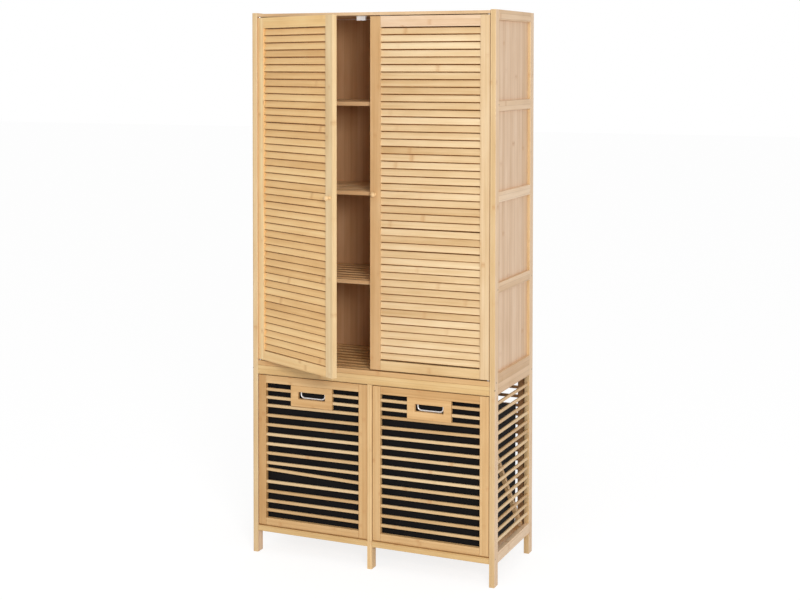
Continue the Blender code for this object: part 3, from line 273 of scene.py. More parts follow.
def bamboo(
    name, middle, grain=None, strip=None, strip_line=0.30, strip_contrast=0.30, knuckle_gap=0.30,
    turn=0.0, board_contrast=0.60, front_light_tone=None, edge_shade_depth=0.0,
):
    """Lacquered bamboo. It follows the board maps that this script makes, or else grain, such as
    "zxy", names the object's axes along the grain, across it and deep, after a turn about the
    upright. front_light_tone is the colour of the faces that look forward, where it differs:
    painted light on them. edge_shade_depth is how much a board's narrow faces take on a warm
    brown, painted shade for the dark lines between louvres."""
    g = Graph(bpy.data.materials.new(name))
    if grain is None:
        along, across, _ = g.board_map()
        deep = 0.0
        tone = g.attribute(TONE)
    else:
        place = g.object_place()
        if turn:
            inputs = {"Vector": place, "Angle": turn}
            place = g.node("ShaderNodeVectorRotate", inputs, rotation_type="Z_AXIS").outputs[0]
        split = g.split(place)
        along, across, deep = (split[AXES.index(axis)] for axis in grain)
    strip_number = 0.0
    if strip:
        strip_number, glue_line = glued_strips(g, across, strip)
    elif grain is None:
        strip_number = g.math("FLOOR", g.math("MULTIPLY", tone, BOARD_SEEDS))

    def grained(scales, detail, roughness=0.5):
        """Noise that is drawn out along the grain."""
        return g.noise((along, across, deep), (scales[0], scales[1], scales[1]), detail, roughness)

    fibres = grained(FIBRES, 3.0, 0.6)
    streaks = grained(STREAKS, 2.0)
    clouds = grained(CLOUDS, 2.0)
    band, ring = knuckles(g, along, grained(WOBBLE, 1.0), strip_number, knuckle_gap)
    strip_tone = g.random(strip_number, TONE_SEED)
    terms = [(fibres, 0.34), (streaks, 0.55), (clouds, 0.50), (strip_tone, strip_contrast)]
    if grain is None:
        terms.append((tone, board_contrast))
    level = g.weighted(0.5, *terms)
    colour = g.ramp(level, tone_stops(middle))
    # Painted light: faces that look forward get their own copy of the colour
    if front_light_tone:
        normal = g.node("ShaderNodeNewGeometry").outputs["Normal"]
        forward = g.ramp_down(g.math("ABSOLUTE", g.split(normal)[1]), 0.9, 0.5)
        colour = g.mix(forward, colour, g.ramp(level, tone_stops(front_light_tone)))
    # Narrow faces take on a warm brown: painted shade
    if edge_shade_depth:
        colour = g.mix(g.math("MULTIPLY", g.attribute(EDGE_SHADE_MASK), edge_shade_depth), colour, EDGE_SHADE_BROWN)
    colour = g.mix(g.math("MULTIPLY", band, BAND_DEPTH), colour, KNUCKLE)
    colour = g.mix(g.math("MULTIPLY", ring, RING_DEPTH), colour, KNUCKLE_RING)
    height = g.weighted(0.5, (fibres, 0.7), (streaks, 0.3))
    height = g.math("SUBTRACT", height, g.math("MULTIPLY", ring, 0.5))
    if strip:
        colour = g.mix(g.math("MULTIPLY", glue_line, strip_line), colour, GLUE_LINE)
        height = g.math("SUBTRACT", height, g.math("MULTIPLY", glue_line, 0.6))
    return g.finish(
        colour, g.weighted(0.44, (fibres, 0.16), (clouds, 0.10)), g.bump(height, 0.22, 0.0004),
        Specular_IOR_Level=0.32, Coat_Weight=0.08, Coat_Roughness=0.25,
    )


# ---- cloth, metal and plastic

THREAD = 0.0013
CLOTH_TONES = ((0.1, (15, 13, 13)), (0.5, (22, 20, 20)), (0.9, (33, 31, 31)))


def fabric(name):
    """Black woven laundry cloth, with its threads as bump."""
    g = Graph(bpy.data.materials.new(name))
    along, across, _ = g.board_map()
    turns = (g.math("MULTIPLY", way, 2.0 * math.pi / THREAD) for way in (along, across))
    threads = g.math("MULTIPLY", *(g.math("SINE", turn) for turn in turns))
    worn = g.noise((along, across, 0.0), (14.0, 14.0, 0.0), detail=4.0)
    lint = g.noise((along, across, 0.0), (900.0, 900.0, 0.0), detail=1.0)
    level = g.math("MULTIPLY_ADD", threads, 0.14, g.weighted(0.5, (worn, 0.8), (lint, 0.3)))
    colour = g.ramp(level, [(place, srgb(*tone)) for place, tone in CLOTH_TONES])
    height = g.math("MULTIPLY_ADD", threads, 0.5, g.weighted(0.5, (worn, 0.4), (lint, 0.3)))
    return g.finish(
        colour, g.weighted(0.86, (worn, 0.16)), g.bump(height, 0.45, 0.0005),
        Specular_IOR_Level=0.12, Sheen_Weight=0.03, Sheen_Roughness=0.5,
    )


def steel(name, tone, roughness, scales, metallic=1.0):
    """Bright metal with fine drawn lines and a few cloudy spots."""
    g = Graph(bpy.data.materials.new(name))
    place = g.split(g.object_place())
    fine = g.noise(place, scales)
    cloud = g.noise(place, (70.0, 70.0, 70.0), detail=3.0)
    dull = srgb(*(channel - 26 for channel in tone))
    return g.finish(
        g.ramp(cloud, [(0.25, dull), (0.7, srgb(*tone))]),
        g.weighted(roughness, (fine, 0.10), (cloud, 0.08)), g.bump(fine, 0.12, 0.0002),
        Metallic=metallic,
    )


def plastic(name, tone):
    """Moulded plastic with a faint mottle."""
    g = Graph(bpy.data.materials.new(name))
    place = g.split(g.object_place())
    grit = g.noise(place, (1300.0, 1300.0, 1300.0))
    cloud = g.noise(place, (60.0, 60.0, 60.0))
    dark = srgb(*(channel - 10 for channel in tone))
    return g.finish(
        g.ramp(cloud, [(0.3, dark), (0.7, srgb(*tone))]),
        g.weighted(0.38, (grit, 0.12)), g.bump(grit, 0.15, 0.0002), Specular_IOR_Level=0.45,
    )


# ---- materials

# Each bamboo's second value is its middle colour; the darker and lighter fibres follow from it
GRILLE_TONE = (226, 189, 139)
HAMPER_BOARDS = bamboo("bamboo_hamper_frame", (207, 163, 108), strip=0.0115, strip_line=0.20)
# The frames' faces that look forward take a darker, yellower copy of the colour: painted light
FRAME_BOARDS = bamboo(
    "bamboo_side_frame", (230, 195, 155), strip=0.0160, front_light_tone=(215, 181, 132),
)
SLAT_BOARDS = bamboo("bamboo_slats", (214, 179, 131), knuckle_gap=0.36)
GRILLE_BOARDS = bamboo("bamboo_grille", GRILLE_TONE, knuckle_gap=0.40)
# The back grille is far darker than the other bamboo: painted shade for the inside of the cabinet
SHADED_BACK_GRILLE_BOARDS = bamboo("bamboo_back_grille_painted_shade", (165, 122, 82), knuckle_gap=0.40)
SHELF_BOARDS = bamboo("bamboo_shelf", (205, 164, 117), knuckle_gap=0.40, board_contrast=0.30)
CUPBOARD_FLOOR_BOARDS = bamboo(
    "bamboo_cupboard_floor", (211, 168, 114), knuckle_gap=0.40, board_contrast=0.30,
)
KNOB_BAMBOO = bamboo("bamboo_knob", (226, 186, 132), knuckle_gap=0.9)
SIDE_PANEL = bamboo(
    "bamboo_side_panel", (226, 190, 153), grain="zyx", strip=0.0248, strip_line=0.45,
    knuckle_gap=0.6,
)
TOP_BAMBOO = bamboo("bamboo_top_board", (226, 193, 152), grain="xyz", strip=0.0180)
RAIL_BAMBOO = bamboo("bamboo_rail", (217, 179, 122), grain="xzy", strip=0.0147)
POST_BAMBOO = bamboo("bamboo_post", (235, 199, 146), grain="zxy", strip=0.0120)
BACK_BAMBOO = bamboo(
    "bamboo_back_panel", (205, 158, 114), grain="zxy", strip=0.0240, knuckle_gap=0.8,
)
FLOOR_BAMBOO = bamboo("bamboo_hamper_floor", (214, 174, 125), grain="xyz", strip=0.0200)
BRACE_BAMBOO = bamboo("bamboo_brace", GRILLE_TONE, grain="yzx", strip=0.0160)
PLATE_BAMBOO = bamboo(
    "bamboo_plate", (223, 180, 124), grain="xzy", strip=0.0222, strip_line=0.2, knuckle_gap=0.21,
)
BLACK_FABRIC = fabric("black_cloth")
# The bail's chrome is only partly metal; its white diffuse share is painted reflection that keeps
# the wire bright in shade
CHROME = steel("bright_chrome", (254, 254, 255), 0.30, (900.0, 900.0, 900.0), metallic=0.55)
DRAWN_STEEL = steel("drawn_steel", (214, 214, 216), 0.24, (2600.0, 2600.0, 220.0))
SCREW_STEEL = steel("screw_steel", (120, 104, 84), 0.34, (1800.0, 1800.0, 1800.0))
WHITE_PLASTIC = plastic("white_plastic", (240, 240, 240))


# ---- pieces

# Furthest shift of a board's fibres, and how far the edges of pieces are rounded
GRAIN_SHIFT = 9.0
FINE_EASE = 0.0005
EASE = 0.0008
BOARD_EASE = 0.0010
SLAT_EASE = 0.0012
POST_EASE = 0.0015
EASED_ANGLE = math.radians(40.0)
WELD_REACH = 0.00002


def add_piece(name, mesh, material, body, replaced=()):
    """Put a mesh in the scene as a piece of one body."""
    mesh.materials.clear()
    mesh.materials.append(material)
    piece = bpy.data.objects.new(name, mesh)
    bpy.context.scene.collection.objects.link(piece)
    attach(piece, body)
    if replaced:
        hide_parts(*replaced)


def mesh_of(solid, name):
    """The mesh of a finished bmesh."""
    mesh = bpy.data.meshes.new(name)
    solid.to_mesh(mesh)
    solid.free()
    return mesh


def stand_in(node, ending, solid, material, body):
    """Put a bmesh in the scene in place of a CAD node."""
    add_piece(node + ending, mesh_of(solid, node + ending), material, body, [node])


def join_rings(solid, rings, count):
    """Faces between rings of count points each, where a ring may also be a single point."""
    faces = []
    for lower, upper in zip(rings, rings[1:]):
        for step in range(count):
            after = (step + 1) % count
            corners = [ring[place % len(ring)] for ring, place in (
                (lower, step), (lower, after), (upper, after), (upper, step),
            )]
            faces.append(solid.faces.new(list(dict.fromkeys(corners))))
    return faces


class Boards:
    """Boards with eased edges, gathered into one mesh, each with its own grain and tone."""

    def __init__(self, seed):
        self.solid = bmesh.new()
        self.uv = self.solid.loops.layers.uv.new(GRAIN_MAP)
        self.tone = self.solid.verts.layers.float.new(TONE)
        self.rim = self.solid.loops.layers.float.new(EDGE_SHADE_MASK)
        self.random = random.Random(seed)

    def add(self, x, y, z, grain, ease=EASE, turn=None, tone=None, shaded_edges=True):
        """One board given by its ranges; grain is the axis that its fibres follow, and shaded_edges
        marks its narrow faces for painted shade."""
        low = Vector(min(pair) for pair in (x, y, z))
        high = Vector(max(pair) for pair in (x, y, z))
        size, middle = high - low, (high + low) / 2
        board = bmesh.new()
        bmesh.ops.create_cube(board, size=1.0, matrix=Matrix.Diagonal(size).to_4x4())
        edges = board.edges[:]
        bmesh.ops.bevel(board, geom=edges, offset=ease, segments=2, profile=0.5, affect="EDGES")
        axis = AXES.index(grain)
        first, second = (i for i in range(3) if i != axis)
        rim_area = 0.5 * size[axis] * max(size[first], size[second])
        shifts = [self.random.uniform(0.0, GRAIN_SHIFT) for _ in range(2)]
        board_tone = self.random.random() if tone is None else tone
        place = Matrix.Translation(middle)
        if turn is not None:
            place = place @ turn.to_4x4()
        made = {}
        for vert in board.verts:
            made[vert] = self.solid.verts.new(place @ vert.co)
            made[vert][self.tone] = board_tone
        for face in board.faces:
            new = self.solid.faces.new([made[vert] for vert in face.verts])
            normal = face.normal
            if abs(normal[axis]) > 0.8:
                pick = (first, second)
            elif abs(normal[first]) > abs(normal[second]):
                pick = (axis, second)
            else:
                pick = (axis, first)
            broad = max(abs(part) for part in normal) > 0.99 and face.calc_area() > rim_area
            for corner, loop in zip(face.verts, new.loops):
                # Narrow faces are marked for painted shade
                loop[self.rim] = 1.0 if shaded_edges and not broad else 0.0
                loop[self.uv].uv = [corner.co[way] + shift for way, shift in zip(pick, shifts)]
            new.smooth = False
        board.free()


def spans(node):
    """A node's three ranges at rest."""
    return tuple(zip(*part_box(node)))


def middle_of(pair):
    """The middle of a range."""
    return (pair[0] + pair[1]) / 2


def ends_of(pair, width):
    """The first and the last width of a range."""
    return (pair[0], pair[0] + width), (pair[1] - width, pair[1])


def around(pair, half):
    """A range of half to each side of another's middle."""
    return (middle_of(pair) - half, middle_of(pair) + half)


def dress(node, material, ease=EASE):
    """Give a CAD node its material and eased edges."""
    thing = frame["nodes"][node]
    thing.data.materials.clear()
    thing.data.materials.append(material)
    if ease:
        weld = thing.modifiers.new("weld", "WELD")
        weld.merge_threshold = WELD_REACH
        edges = thing.modifiers.new("eased", "BEVEL")
        edges.width = ease
        edges.segments = 2
        edges.limit_method = "ANGLE"
        edges.angle_limit = EASED_ANGLE


# ---- carcass

POST_DEPTH = 0.034
POST_WIDTH = 0.018
POST_SHADE = 0.62
RAIL_THICKNESS = 0.009
RAIL_HEIGHT = 0.032
RAIL_COUNT = 4
WAIST_TOP, WAIST_HEIGHT = 0.66668, 0.066
FOOT_BOTTOM, FOOT_HEIGHT, FOOT_THICKNESS = 0.070, 0.0335, 0.0155
JOINT_LINE = 0.0002

# Grilles: number of slats, top of the highest and foot of the lowest
SIDE_GRILLE = (15, 0.57448, 0.1325)
BACK_GRILLE = (16, 0.5860, 0.120)
GRILLE_SLAT = 0.010
GRILLE_SLAT_HALF = 0.003
SIDE_GRILLE_STRIP = 0.0057
BACK_GRILLE_STILE = 0.029
# Side slats that sit high or low, counted from the top, in metres
SIDE_SLAT_LIFTS = {0: 0.0008, 1: 0.0002, 2: -0.0007, 3: -0.0012, 4: -0.0010, 5: -0.0007, 6: -0.0004}

# Shelves: front and rear strip, number of slats, their width and thickness
CUPBOARD_FLOOR = (0.014, 0.017, 8, 0.029, 0.010)
SHELF = (0.017, 0.017, 6, 0.030, 0.008)
FRONT_STRIP_SHADE = 0.85
BEARER = 0.022
BEARER_DROP = 0.0003


def side_frame(side):
    """Posts with eased edges and rails that butt against them."""
    node = side + "_side_frame"
    (x_low, x_high), (front, back), (_, top) = spans(node)
    outer = max(abs(x_low), abs(x_high))
    boards = Boards("frame" + side)

    def inward(thickness):
        """A range from the frame's outer face in."""
        return (SIDES[side] * (outer - thickness), SIDES[side] * outer)

    for y in ends_of((front, back), POST_DEPTH):
        boards.add(inward(POST_WIDTH), y, (0.0, top), "z", ease=POST_EASE, tone=POST_SHADE)
    pitch = (top - WAIST_TOP) / RAIL_COUNT
    rail_y = (front + POST_DEPTH + JOINT_LINE, back - POST_DEPTH - JOINT_LINE)
    for step in range(RAIL_COUNT):
        rail_top = top - step * pitch
        boards.add(inward(RAIL_THICKNESS), rail_y, (rail_top - RAIL_HEIGHT, rail_top), "y")
    boards.add(inward(RAIL_THICKNESS), rail_y, (WAIST_TOP - WAIST_HEIGHT, WAIST_TOP), "y")
    boards.add(inward(FOOT_THICKNESS), rail_y, (FOOT_BOTTOM, FOOT_BOTTOM + FOOT_HEIGHT), "y")
    stand_in(node, "_boards", boards.solid, FRAME_BOARDS, "cabinet")


def grille(node, material, layout, grain, slat_x, slat_y, uprights, lifts):
    """Level slats between uprights."""
    count, highest, lowest = layout
    boards = Boards(node)
    pitch = (highest - lowest - GRILLE_SLAT) / (count - 1)
    for row in range(count):
        top = highest - row * pitch + lifts.get(row, 0.0)
        boards.add(slat_x, slat_y, (top - GRILLE_SLAT, top), grain, ease=SLAT_EASE)
    for x, y, z in uprights:
        boards.add(x, y, z, "z", ease=BOARD_EASE)
    stand_in(node, "_boards", boards.solid, material, "cabinet")


def side_grille(side):
    """Fifteen slats beside the hampers, let into the posts."""
    node = side + "_side_grille"
    x, y, z = spans(node)
    strips = [(x, strip_y, z) for strip_y in ends_of(y, SIDE_GRILLE_STRIP)]
    slat_y = (y[0] + GRILLE_SLAT_HALF, y[1] - GRILLE_SLAT_HALF)
    slat_x = around(x, GRILLE_SLAT_HALF)
    grille(node, GRILLE_BOARDS, SIDE_GRILLE, "y", slat_x, slat_y, strips, SIDE_SLAT_LIFTS)


def back_grille():
    """Sixteen slats between three stiles behind the hampers."""
    x, y, z = spans("back_grille")
    left, right = ends_of(x, BACK_GRILLE_STILE)
    centre = (-BACK_GRILLE_STILE / 2, BACK_GRILLE_STILE / 2)
    stiles = [(stile_x, y, z) for stile_x in (left, centre, right)]
    slat_x = (x[0] + BACK_GRILLE_STILE / 2, x[1] - BACK_GRILLE_STILE / 2)
    slat_y = around(y, GRILLE_SLAT_HALF)
    grille("back_grille", SHADED_BACK_GRILLE_BOARDS, BACK_GRILLE, "x", slat_x, slat_y, stiles, {})


def slatted_board(node, layout, material):
    """A shelf: a front and a rear strip, slats between them and a bearer at each end."""
    front_strip, rear_strip, count, width, thickness = layout
    x, y, z = spans(node)
    start, end = y[0] + front_strip, y[1] - rear_strip
    boards = Boards(node)
    boards.add(x, (y[0], start), z, "x", ease=SLAT_EASE, tone=FRONT_STRIP_SHADE)
    boards.add(x, (end, y[1]), z, "x", ease=BOARD_EASE)
    gap = (end - start - count * width) / (count + 1)
    slat_x = (x[0] + BEARER / 2, x[1] - BEARER / 2)
    for row in range(count):
        near = start + gap + row * (width + gap)
        boards.add(slat_x, (near, near + width), (z[1] - thickness, z[1]), "x", ease=SLAT_EASE)
    for bearer_x in ends_of(x, BEARER):
        boards.add(bearer_x, (start, end), (z[0], z[1] - BEARER_DROP), "y")
    stand_in(node, "_boards", boards.solid, material, "cabinet")


def carcass():
    """Everything that stands still."""
    for side in SIDES:
        side_frame(side)
        side_grille(side)
        dress(side + "_side_panel", SIDE_PANEL, FINE_EASE)
    back_grille()
    slatted_board("cupboard_floor", CUPBOARD_FLOOR, CUPBOARD_FLOOR_BOARDS)
    for number in (1, 2, 3):
        slatted_board("shelf_" + str(number), SHELF, SHELF_BOARDS)
    dress("top_board", TOP_BAMBOO, BOARD_EASE)
    for word in ("waist_front", "waist_rear", "foot_front", "foot_rear"):
        dress(word + "_rail", RAIL_BAMBOO, BOARD_EASE)
    dress("middle_post", POST_BAMBOO, BOARD_EASE)
    dress("back_panel", BACK_BAMBOO, FINE_EASE)


# ---- doors


LEFT_SWING = next(joint for joint in frame["joints"] if joint["child"] == "left_door")
LEFT_OPEN = math.radians(LEFT_SWING["range_deg"][0])
MIRROR = Matrix.Diagonal((-1.0, 1.0, 1.0, 1.0))
TO_AXIS = Matrix.Translation(LEFT_SWING["pos_m"])
LEFT_DOOR_PLACE = TO_AXIS @ Matrix.Rotation(LEFT_OPEN, 4, "Z") @ TO_AXIS.inverted() @ MIRROR

# A door's boards: middle colours, grain, strip width, how dark glue lines are, how strips differ
# The open left door's boards take lighter copies of the right door's colours: painted light
DOOR_BOARDS = {
    "hinge_stile": ({"left": (245, 206, 149), "right": (221, 189, 145)}, "zxy", 0.0122, 0.15, 0.20),
    "lock_stile": ({"left": (229, 198, 149), "right": (213, 172, 121)}, "zxy", 0.0122, 0.06, 0.08),
    "top_rail": ({"left": (244, 203, 139), "right": (229, 196, 160)}, "xzy", 0.0172, 0.15, 0.20),
    "bottom_rail": ({"left": (240, 200, 140), "right": (221, 186, 134)}, "xzy", 0.0172, 0.15, 0.20),
}
# The left louvres take a yellower copy of the right ones' colour: painted light
LOUVRE_TONES = {"left": (238, 195, 133), "right": (229, 198, 151)}
STRIKE_EASE = 0.0002

LOUVRE_COUNT = 45
LOUVRE_WIDTH = 0.0222
LOUVRE_THICKNESS = 0.004
LOUVRE_TILT = math.radians(14.0)
LOUVRE_SETBACK = 0.003
LOUVRE_FOOT_GAP = 0.0029
LOUVRE_HEAD_GAP = 0.0023
LOUVRE_END_TRIM = 0.0014
LOUVRE_STRIP = 0.0074
LOUVRE_STRIP_SHADE = 0.4
LOUVRE_EASE = 0.0009
LOUVRE_PLAY = 0.0002
LOUVRE_TILT_PLAY = 0.7
# How far a door's lowest louvre hangs at its hinge end and its lock end
LOUVRE_SAG = {"right": (0.0, 0.0), "left": (-0.0012, -0.0022)}
# Louvres that sit low or high, counted from the top, at their hinge and lock ends
UNEVEN_LOUVRES = {
    "right": {
        3: (-0.0003, -0.0001), 21: (-0.0004, 0.0), 27: (-0.0013, -0.0013), 30: (-0.0010, -0.0009),
        40: (-0.0003, -0.0002), 42: (-0.0003, 0.0),
    },
    "left": {10: (0.0006, 0.0010), 12: (0.0005, 0.0008), 23: (0.0004, 0.0002)},
}

# Radius and height of the knob's outline, from its crown to its foot
KNOB_PROFILE = (
    (0.0000, 0.0210), (0.0026, 0.0207), (0.0050, 0.0197), (0.0069, 0.0180), (0.0081, 0.0158),
    (0.0085, 0.0134), (0.0079, 0.0112), (0.0065, 0.0095), (0.0052, 0.0082), (0.0044, 0.0066),
    (0.0042, 0.0046), (0.0046, 0.0026), (0.0056, 0.0011), (0.0064, 0.0004), (0.0064, 0.0000),
    (0.0000, 0.0000),
)
KNOB_SEGMENTS = 48
KNOB_SHADE = 0.72


def hang(solid, side):
    """Move what is drawn for the closed right door to its own; the left one stands ajar."""
    if side == "left":
        solid.transform(LEFT_DOOR_PLACE)
        bmesh.ops.reverse_faces(solid, faces=solid.faces[:])


def louvres(side):
    """A door's slats, each with its own colour, a rounded edge and a slightly uneven seat."""
    x, y, z = spans("right_door_louvres")
    _, _, (_, rail_low) = spans("right_door_bottom_rail")
    _, (rail_front, _), (rail_high, _) = spans("right_door_top_rail")
    chance = random.Random("louvres" + side)
    rise, run = math.sin(LOUVRE_TILT), math.cos(LOUVRE_TILT)
    section = LOUVRE_WIDTH * run + LOUVRE_THICKNESS * rise
    reach = LOUVRE_WIDTH * rise + LOUVRE_THICKNESS * run
    lowest = rail_low + LOUVRE_FOOT_GAP - LOUVRE_THICKNESS * rise
    highest = rail_high - LOUVRE_HEAD_GAP - section
    pitch = (highest - lowest) / (LOUVRE_COUNT - 1)
    centre_y = rail_front + LOUVRE_SETBACK + reach / 2
    slat_x = (x[0] + LOUVRE_STRIP / 2, x[1] - LOUVRE_STRIP / 2)
    slat_y = (centre_y - LOUVRE_THICKNESS / 2, centre_y + LOUVRE_THICKNESS / 2)
    boards = Boards(side + "_door_louvres")
    for row in range(LOUVRE_COUNT):
        from_top = LOUVRE_COUNT - 1 - row
        offs = []
        for off, sag in zip(UNEVEN_LOUVRES[side].get(from_top, (0.0, 0.0)), LOUVRE_SAG[side]):
            seat = chance.uniform(-LOUVRE_PLAY, LOUVRE_PLAY)
            offs.append(off + seat + sag * from_top / (LOUVRE_COUNT - 1))
        tilt = -LOUVRE_TILT + math.radians(chance.uniform(-LOUVRE_TILT_PLAY, LOUVRE_TILT_PLAY))
        roll = math.atan2(offs[0] - offs[1], slat_x[1] - slat_x[0])
        turn = Matrix.Rotation(-roll, 3, "Y") @ Matrix.Rotation(tilt, 3, "X")
        centre_z = lowest + row * pitch + section / 2 + middle_of(offs)
        bottom = centre_z - LOUVRE_WIDTH / 2 + (LOUVRE_END_TRIM if row == 0 else 0.0)
        top = centre_z + LOUVRE_WIDTH / 2 - (LOUVRE_END_TRIM if from_top == 0 else 0.0)
        boards.add(slat_x, slat_y, (bottom, top), "x", ease=LOUVRE_EASE, turn=turn)
    for strip_x in ends_of(x, LOUVRE_STRIP):
        boards.add(strip_x, y, z, "z", ease=FINE_EASE, tone=LOUVRE_STRIP_SHADE, shaded_edges=False)
    hang(boards.solid, side)
    # The louvres' narrow faces take a warm brown: painted shade for the dark lines between them
    material = bamboo(
        "bamboo_" + side + "_louvres", LOUVRE_TONES[side], knuckle_gap=0.42, board_contrast=0.30,
        edge_shade_depth=1.0,
    )
    door = side + "_door"
    stand_in(door + "_louvres", "_slats", boards.solid, material, door)


def knob(side):
    """A turned bamboo knob with a waisted stem and a rounded head."""
    x, y, z = spans("right_door_knob")
    centre = Vector((middle_of(x), y[1], middle_of(z)))
    solid = bmesh.new()
    uv = solid.loops.layers.uv.new(GRAIN_MAP)
    tone = solid.verts.layers.float.new(TONE)
    rings = []
    for radius, height in KNOB_PROFILE:
        rings.append([])
        for step in range(KNOB_SEGMENTS if radius else 1):
            angle = 2.0 * math.pi * step / KNOB_SEGMENTS
            spot = Vector((radius * math.cos(angle), -height, radius * math.sin(angle)))
            vert = solid.verts.new(centre + spot)
            vert[tone] = KNOB_SHADE
            rings[-1].append(vert)
    for face in join_rings(solid, rings, KNOB_SEGMENTS):
        face.smooth = True
        for loop in face.loops:
            loop[uv].uv = (loop.vert.co.z + loop.vert.co.y, loop.vert.co.x)
    bmesh.ops.recalc_face_normals(solid, faces=solid.faces)
    hang(solid, side)
    stand_in(side + "_door_knob", "_turned", solid, KNOB_BAMBOO, side + "_door")


def doors():
    """Both doors."""
    for side in SIDES:
        turn = -LEFT_OPEN if side == "left" else 0.0
        tag = side + "_door_"
        for word, (tones, grain, strip, line, contrast) in DOOR_BOARDS.items():
            material = bamboo(
                "bamboo_" + tag + word, tones[side], grain=grain, strip=strip, strip_line=line,
                strip_contrast=contrast, turn=turn,
            )
            dress(tag + word, material)
        dress(tag + "strike_plate", DRAWN_STEEL, STRIKE_EASE)
        dress(tag + "top_pin", DRAWN_STEEL, 0.0)
        dress(tag + "bottom_pin", DRAWN_STEEL, 0.0)
        louvres(side)
        knob(side)


# ---- magnet catches

CATCH_EAR, CATCH_EAR_THICKNESS = 0.0030, 0.0030
CATCH_EAR_ROOT = 0.001
CATCH_EAR_FRONT, CATCH_EAR_REAR = 0.004, 0.002
CATCH_EAR_EASE = 0.0006


def magnet_catch(side):
    """A white case between two low ears that hold it under the top board."""
    node = side + "_magnet_catch"
    x, y, z = spans(node)
    case = Boards(node)
    case.add((x[0] + CATCH_EAR, x[1] - CATCH_EAR), y, z, "x", ease=SLAT_EASE)
    for ear_x in ends_of(x, CATCH_EAR + CATCH_EAR_ROOT):
        ear_y = (y[0] + CATCH_EAR_FRONT, y[1] - CATCH_EAR_REAR)
        case.add(ear_x, ear_y, (z[1] - CATCH_EAR_THICKNESS, z[1]), "x", ease=CATCH_EAR_EASE)
    stand_in(node, "_case", case.solid, WHITE_PLASTIC, "cabinet")


# ---- hampers

LEFT_STILE = 0.0272
RIGHT_STILE = 0.0300
HAMPER_TOP_RAIL = 0.0254
HAMPER_BOTTOM_RAIL = 0.0262
FOOT_CHAMFER = 0.004
LONG_SLATS = 12
SHORT_SLATS = 2
SHORT_PITCH = 0.0267
SLAT_HEIGHT = 0.0095
SLAT_HALF = 0.004
SLAT_FOOT_GAP = 0.02185
SLAT_GAP = 0.0003
SLAT_INSET = 0.0010
LEFT_STRIP, RIGHT_STRIP = 0.0044, 0.0074
SLANTED_SLAT = 7
SLANT_RISE = 0.0080
MILLIMETRE = 0.001
# Slats that sit low or high, in millimetres at their left and right ends, from the top down
UNEVEN_SHORT = {"left": ((-1.2, -0.8), (-1.5, -0.3)), "right": ((0.3, 1.8), (-0.8, 1.5))}
UNEVEN_LONG = {
    "left": (
        (-2.2, -0.3), (-3.2, -0.5), (-2.9, -0.2), (-3.1, -0.4), (-3.1, -0.2), (-2.0, -0.6),
        (-2.2, -0.7), (0.2, -0.3), (-1.6, -0.5), (-1.7, -1.0), (-1.8, -0.8), (-0.8, -0.6),
    ),
    "right": (
        (-0.5, 2.1), (-2.0, 2.6), (-1.9, 2.4), (-1.9, 1.5), (-1.3, 1.9), (-1.2, 1.5),
        (-0.9, 1.6), (-0.5, 1.9), (-0.4, 1.5), (-0.4, 0.9), (-0.8, 0.9), (-0.2, 0.7),
    ),
}

BAIL_RADIUS = 0.0026
BAIL_BEND = 0.012
BAIL_LEG = 0.010
BAIL_STEPS = 12


def cut_front_foot(boards, front, foot):
    """Cut the front lower edge back, so that the frame swings clear of the rail below it."""
    solid = boards.solid
    cut = bmesh.ops.bisect_plane(
        solid, geom=solid.verts[:] + solid.edges[:] + solid.faces[:],
        plane_co=(0.0, front + FOOT_CHAMFER, foot), plane_no=(0.0, -1.0, -1.0), clear_outer=True,
    )
    edges = [item for item in cut["geom_cut"] if isinstance(item, bmesh.types.BMEdge)]
    for face in bmesh.ops.edgeloop_fill(solid, edges=edges)["faces"]:
        for loop in face.loops:
            loop[boards.uv].uv = (loop.vert.co.x, loop.vert.co.z)


def hamper_frame(side):
    """Stiles of full height with rails between them."""
    node = side + "_hamper_frame"
    x, y, z = spans(node)
    boards = Boards(node)
    for stile_x in ((x[0], x[0] + LEFT_STILE), (x[1] - RIGHT_STILE, x[1])):
        boards.add(stile_x, y, z, "z", ease=BOARD_EASE)
    rail_x = (x[0] + LEFT_STILE + JOINT_LINE, x[1] - RIGHT_STILE - JOINT_LINE)
    for rail_z in ((z[1] - HAMPER_TOP_RAIL, z[1]), (z[0], z[0] + HAMPER_BOTTOM_RAIL)):
        boards.add(rail_x, y, rail_z, "x", ease=BOARD_EASE)
    cut_front_foot(boards, y[0], z[0])
    stand_in(node, "_boards", boards.solid, HAMPER_BOARDS, side + "_hamper")


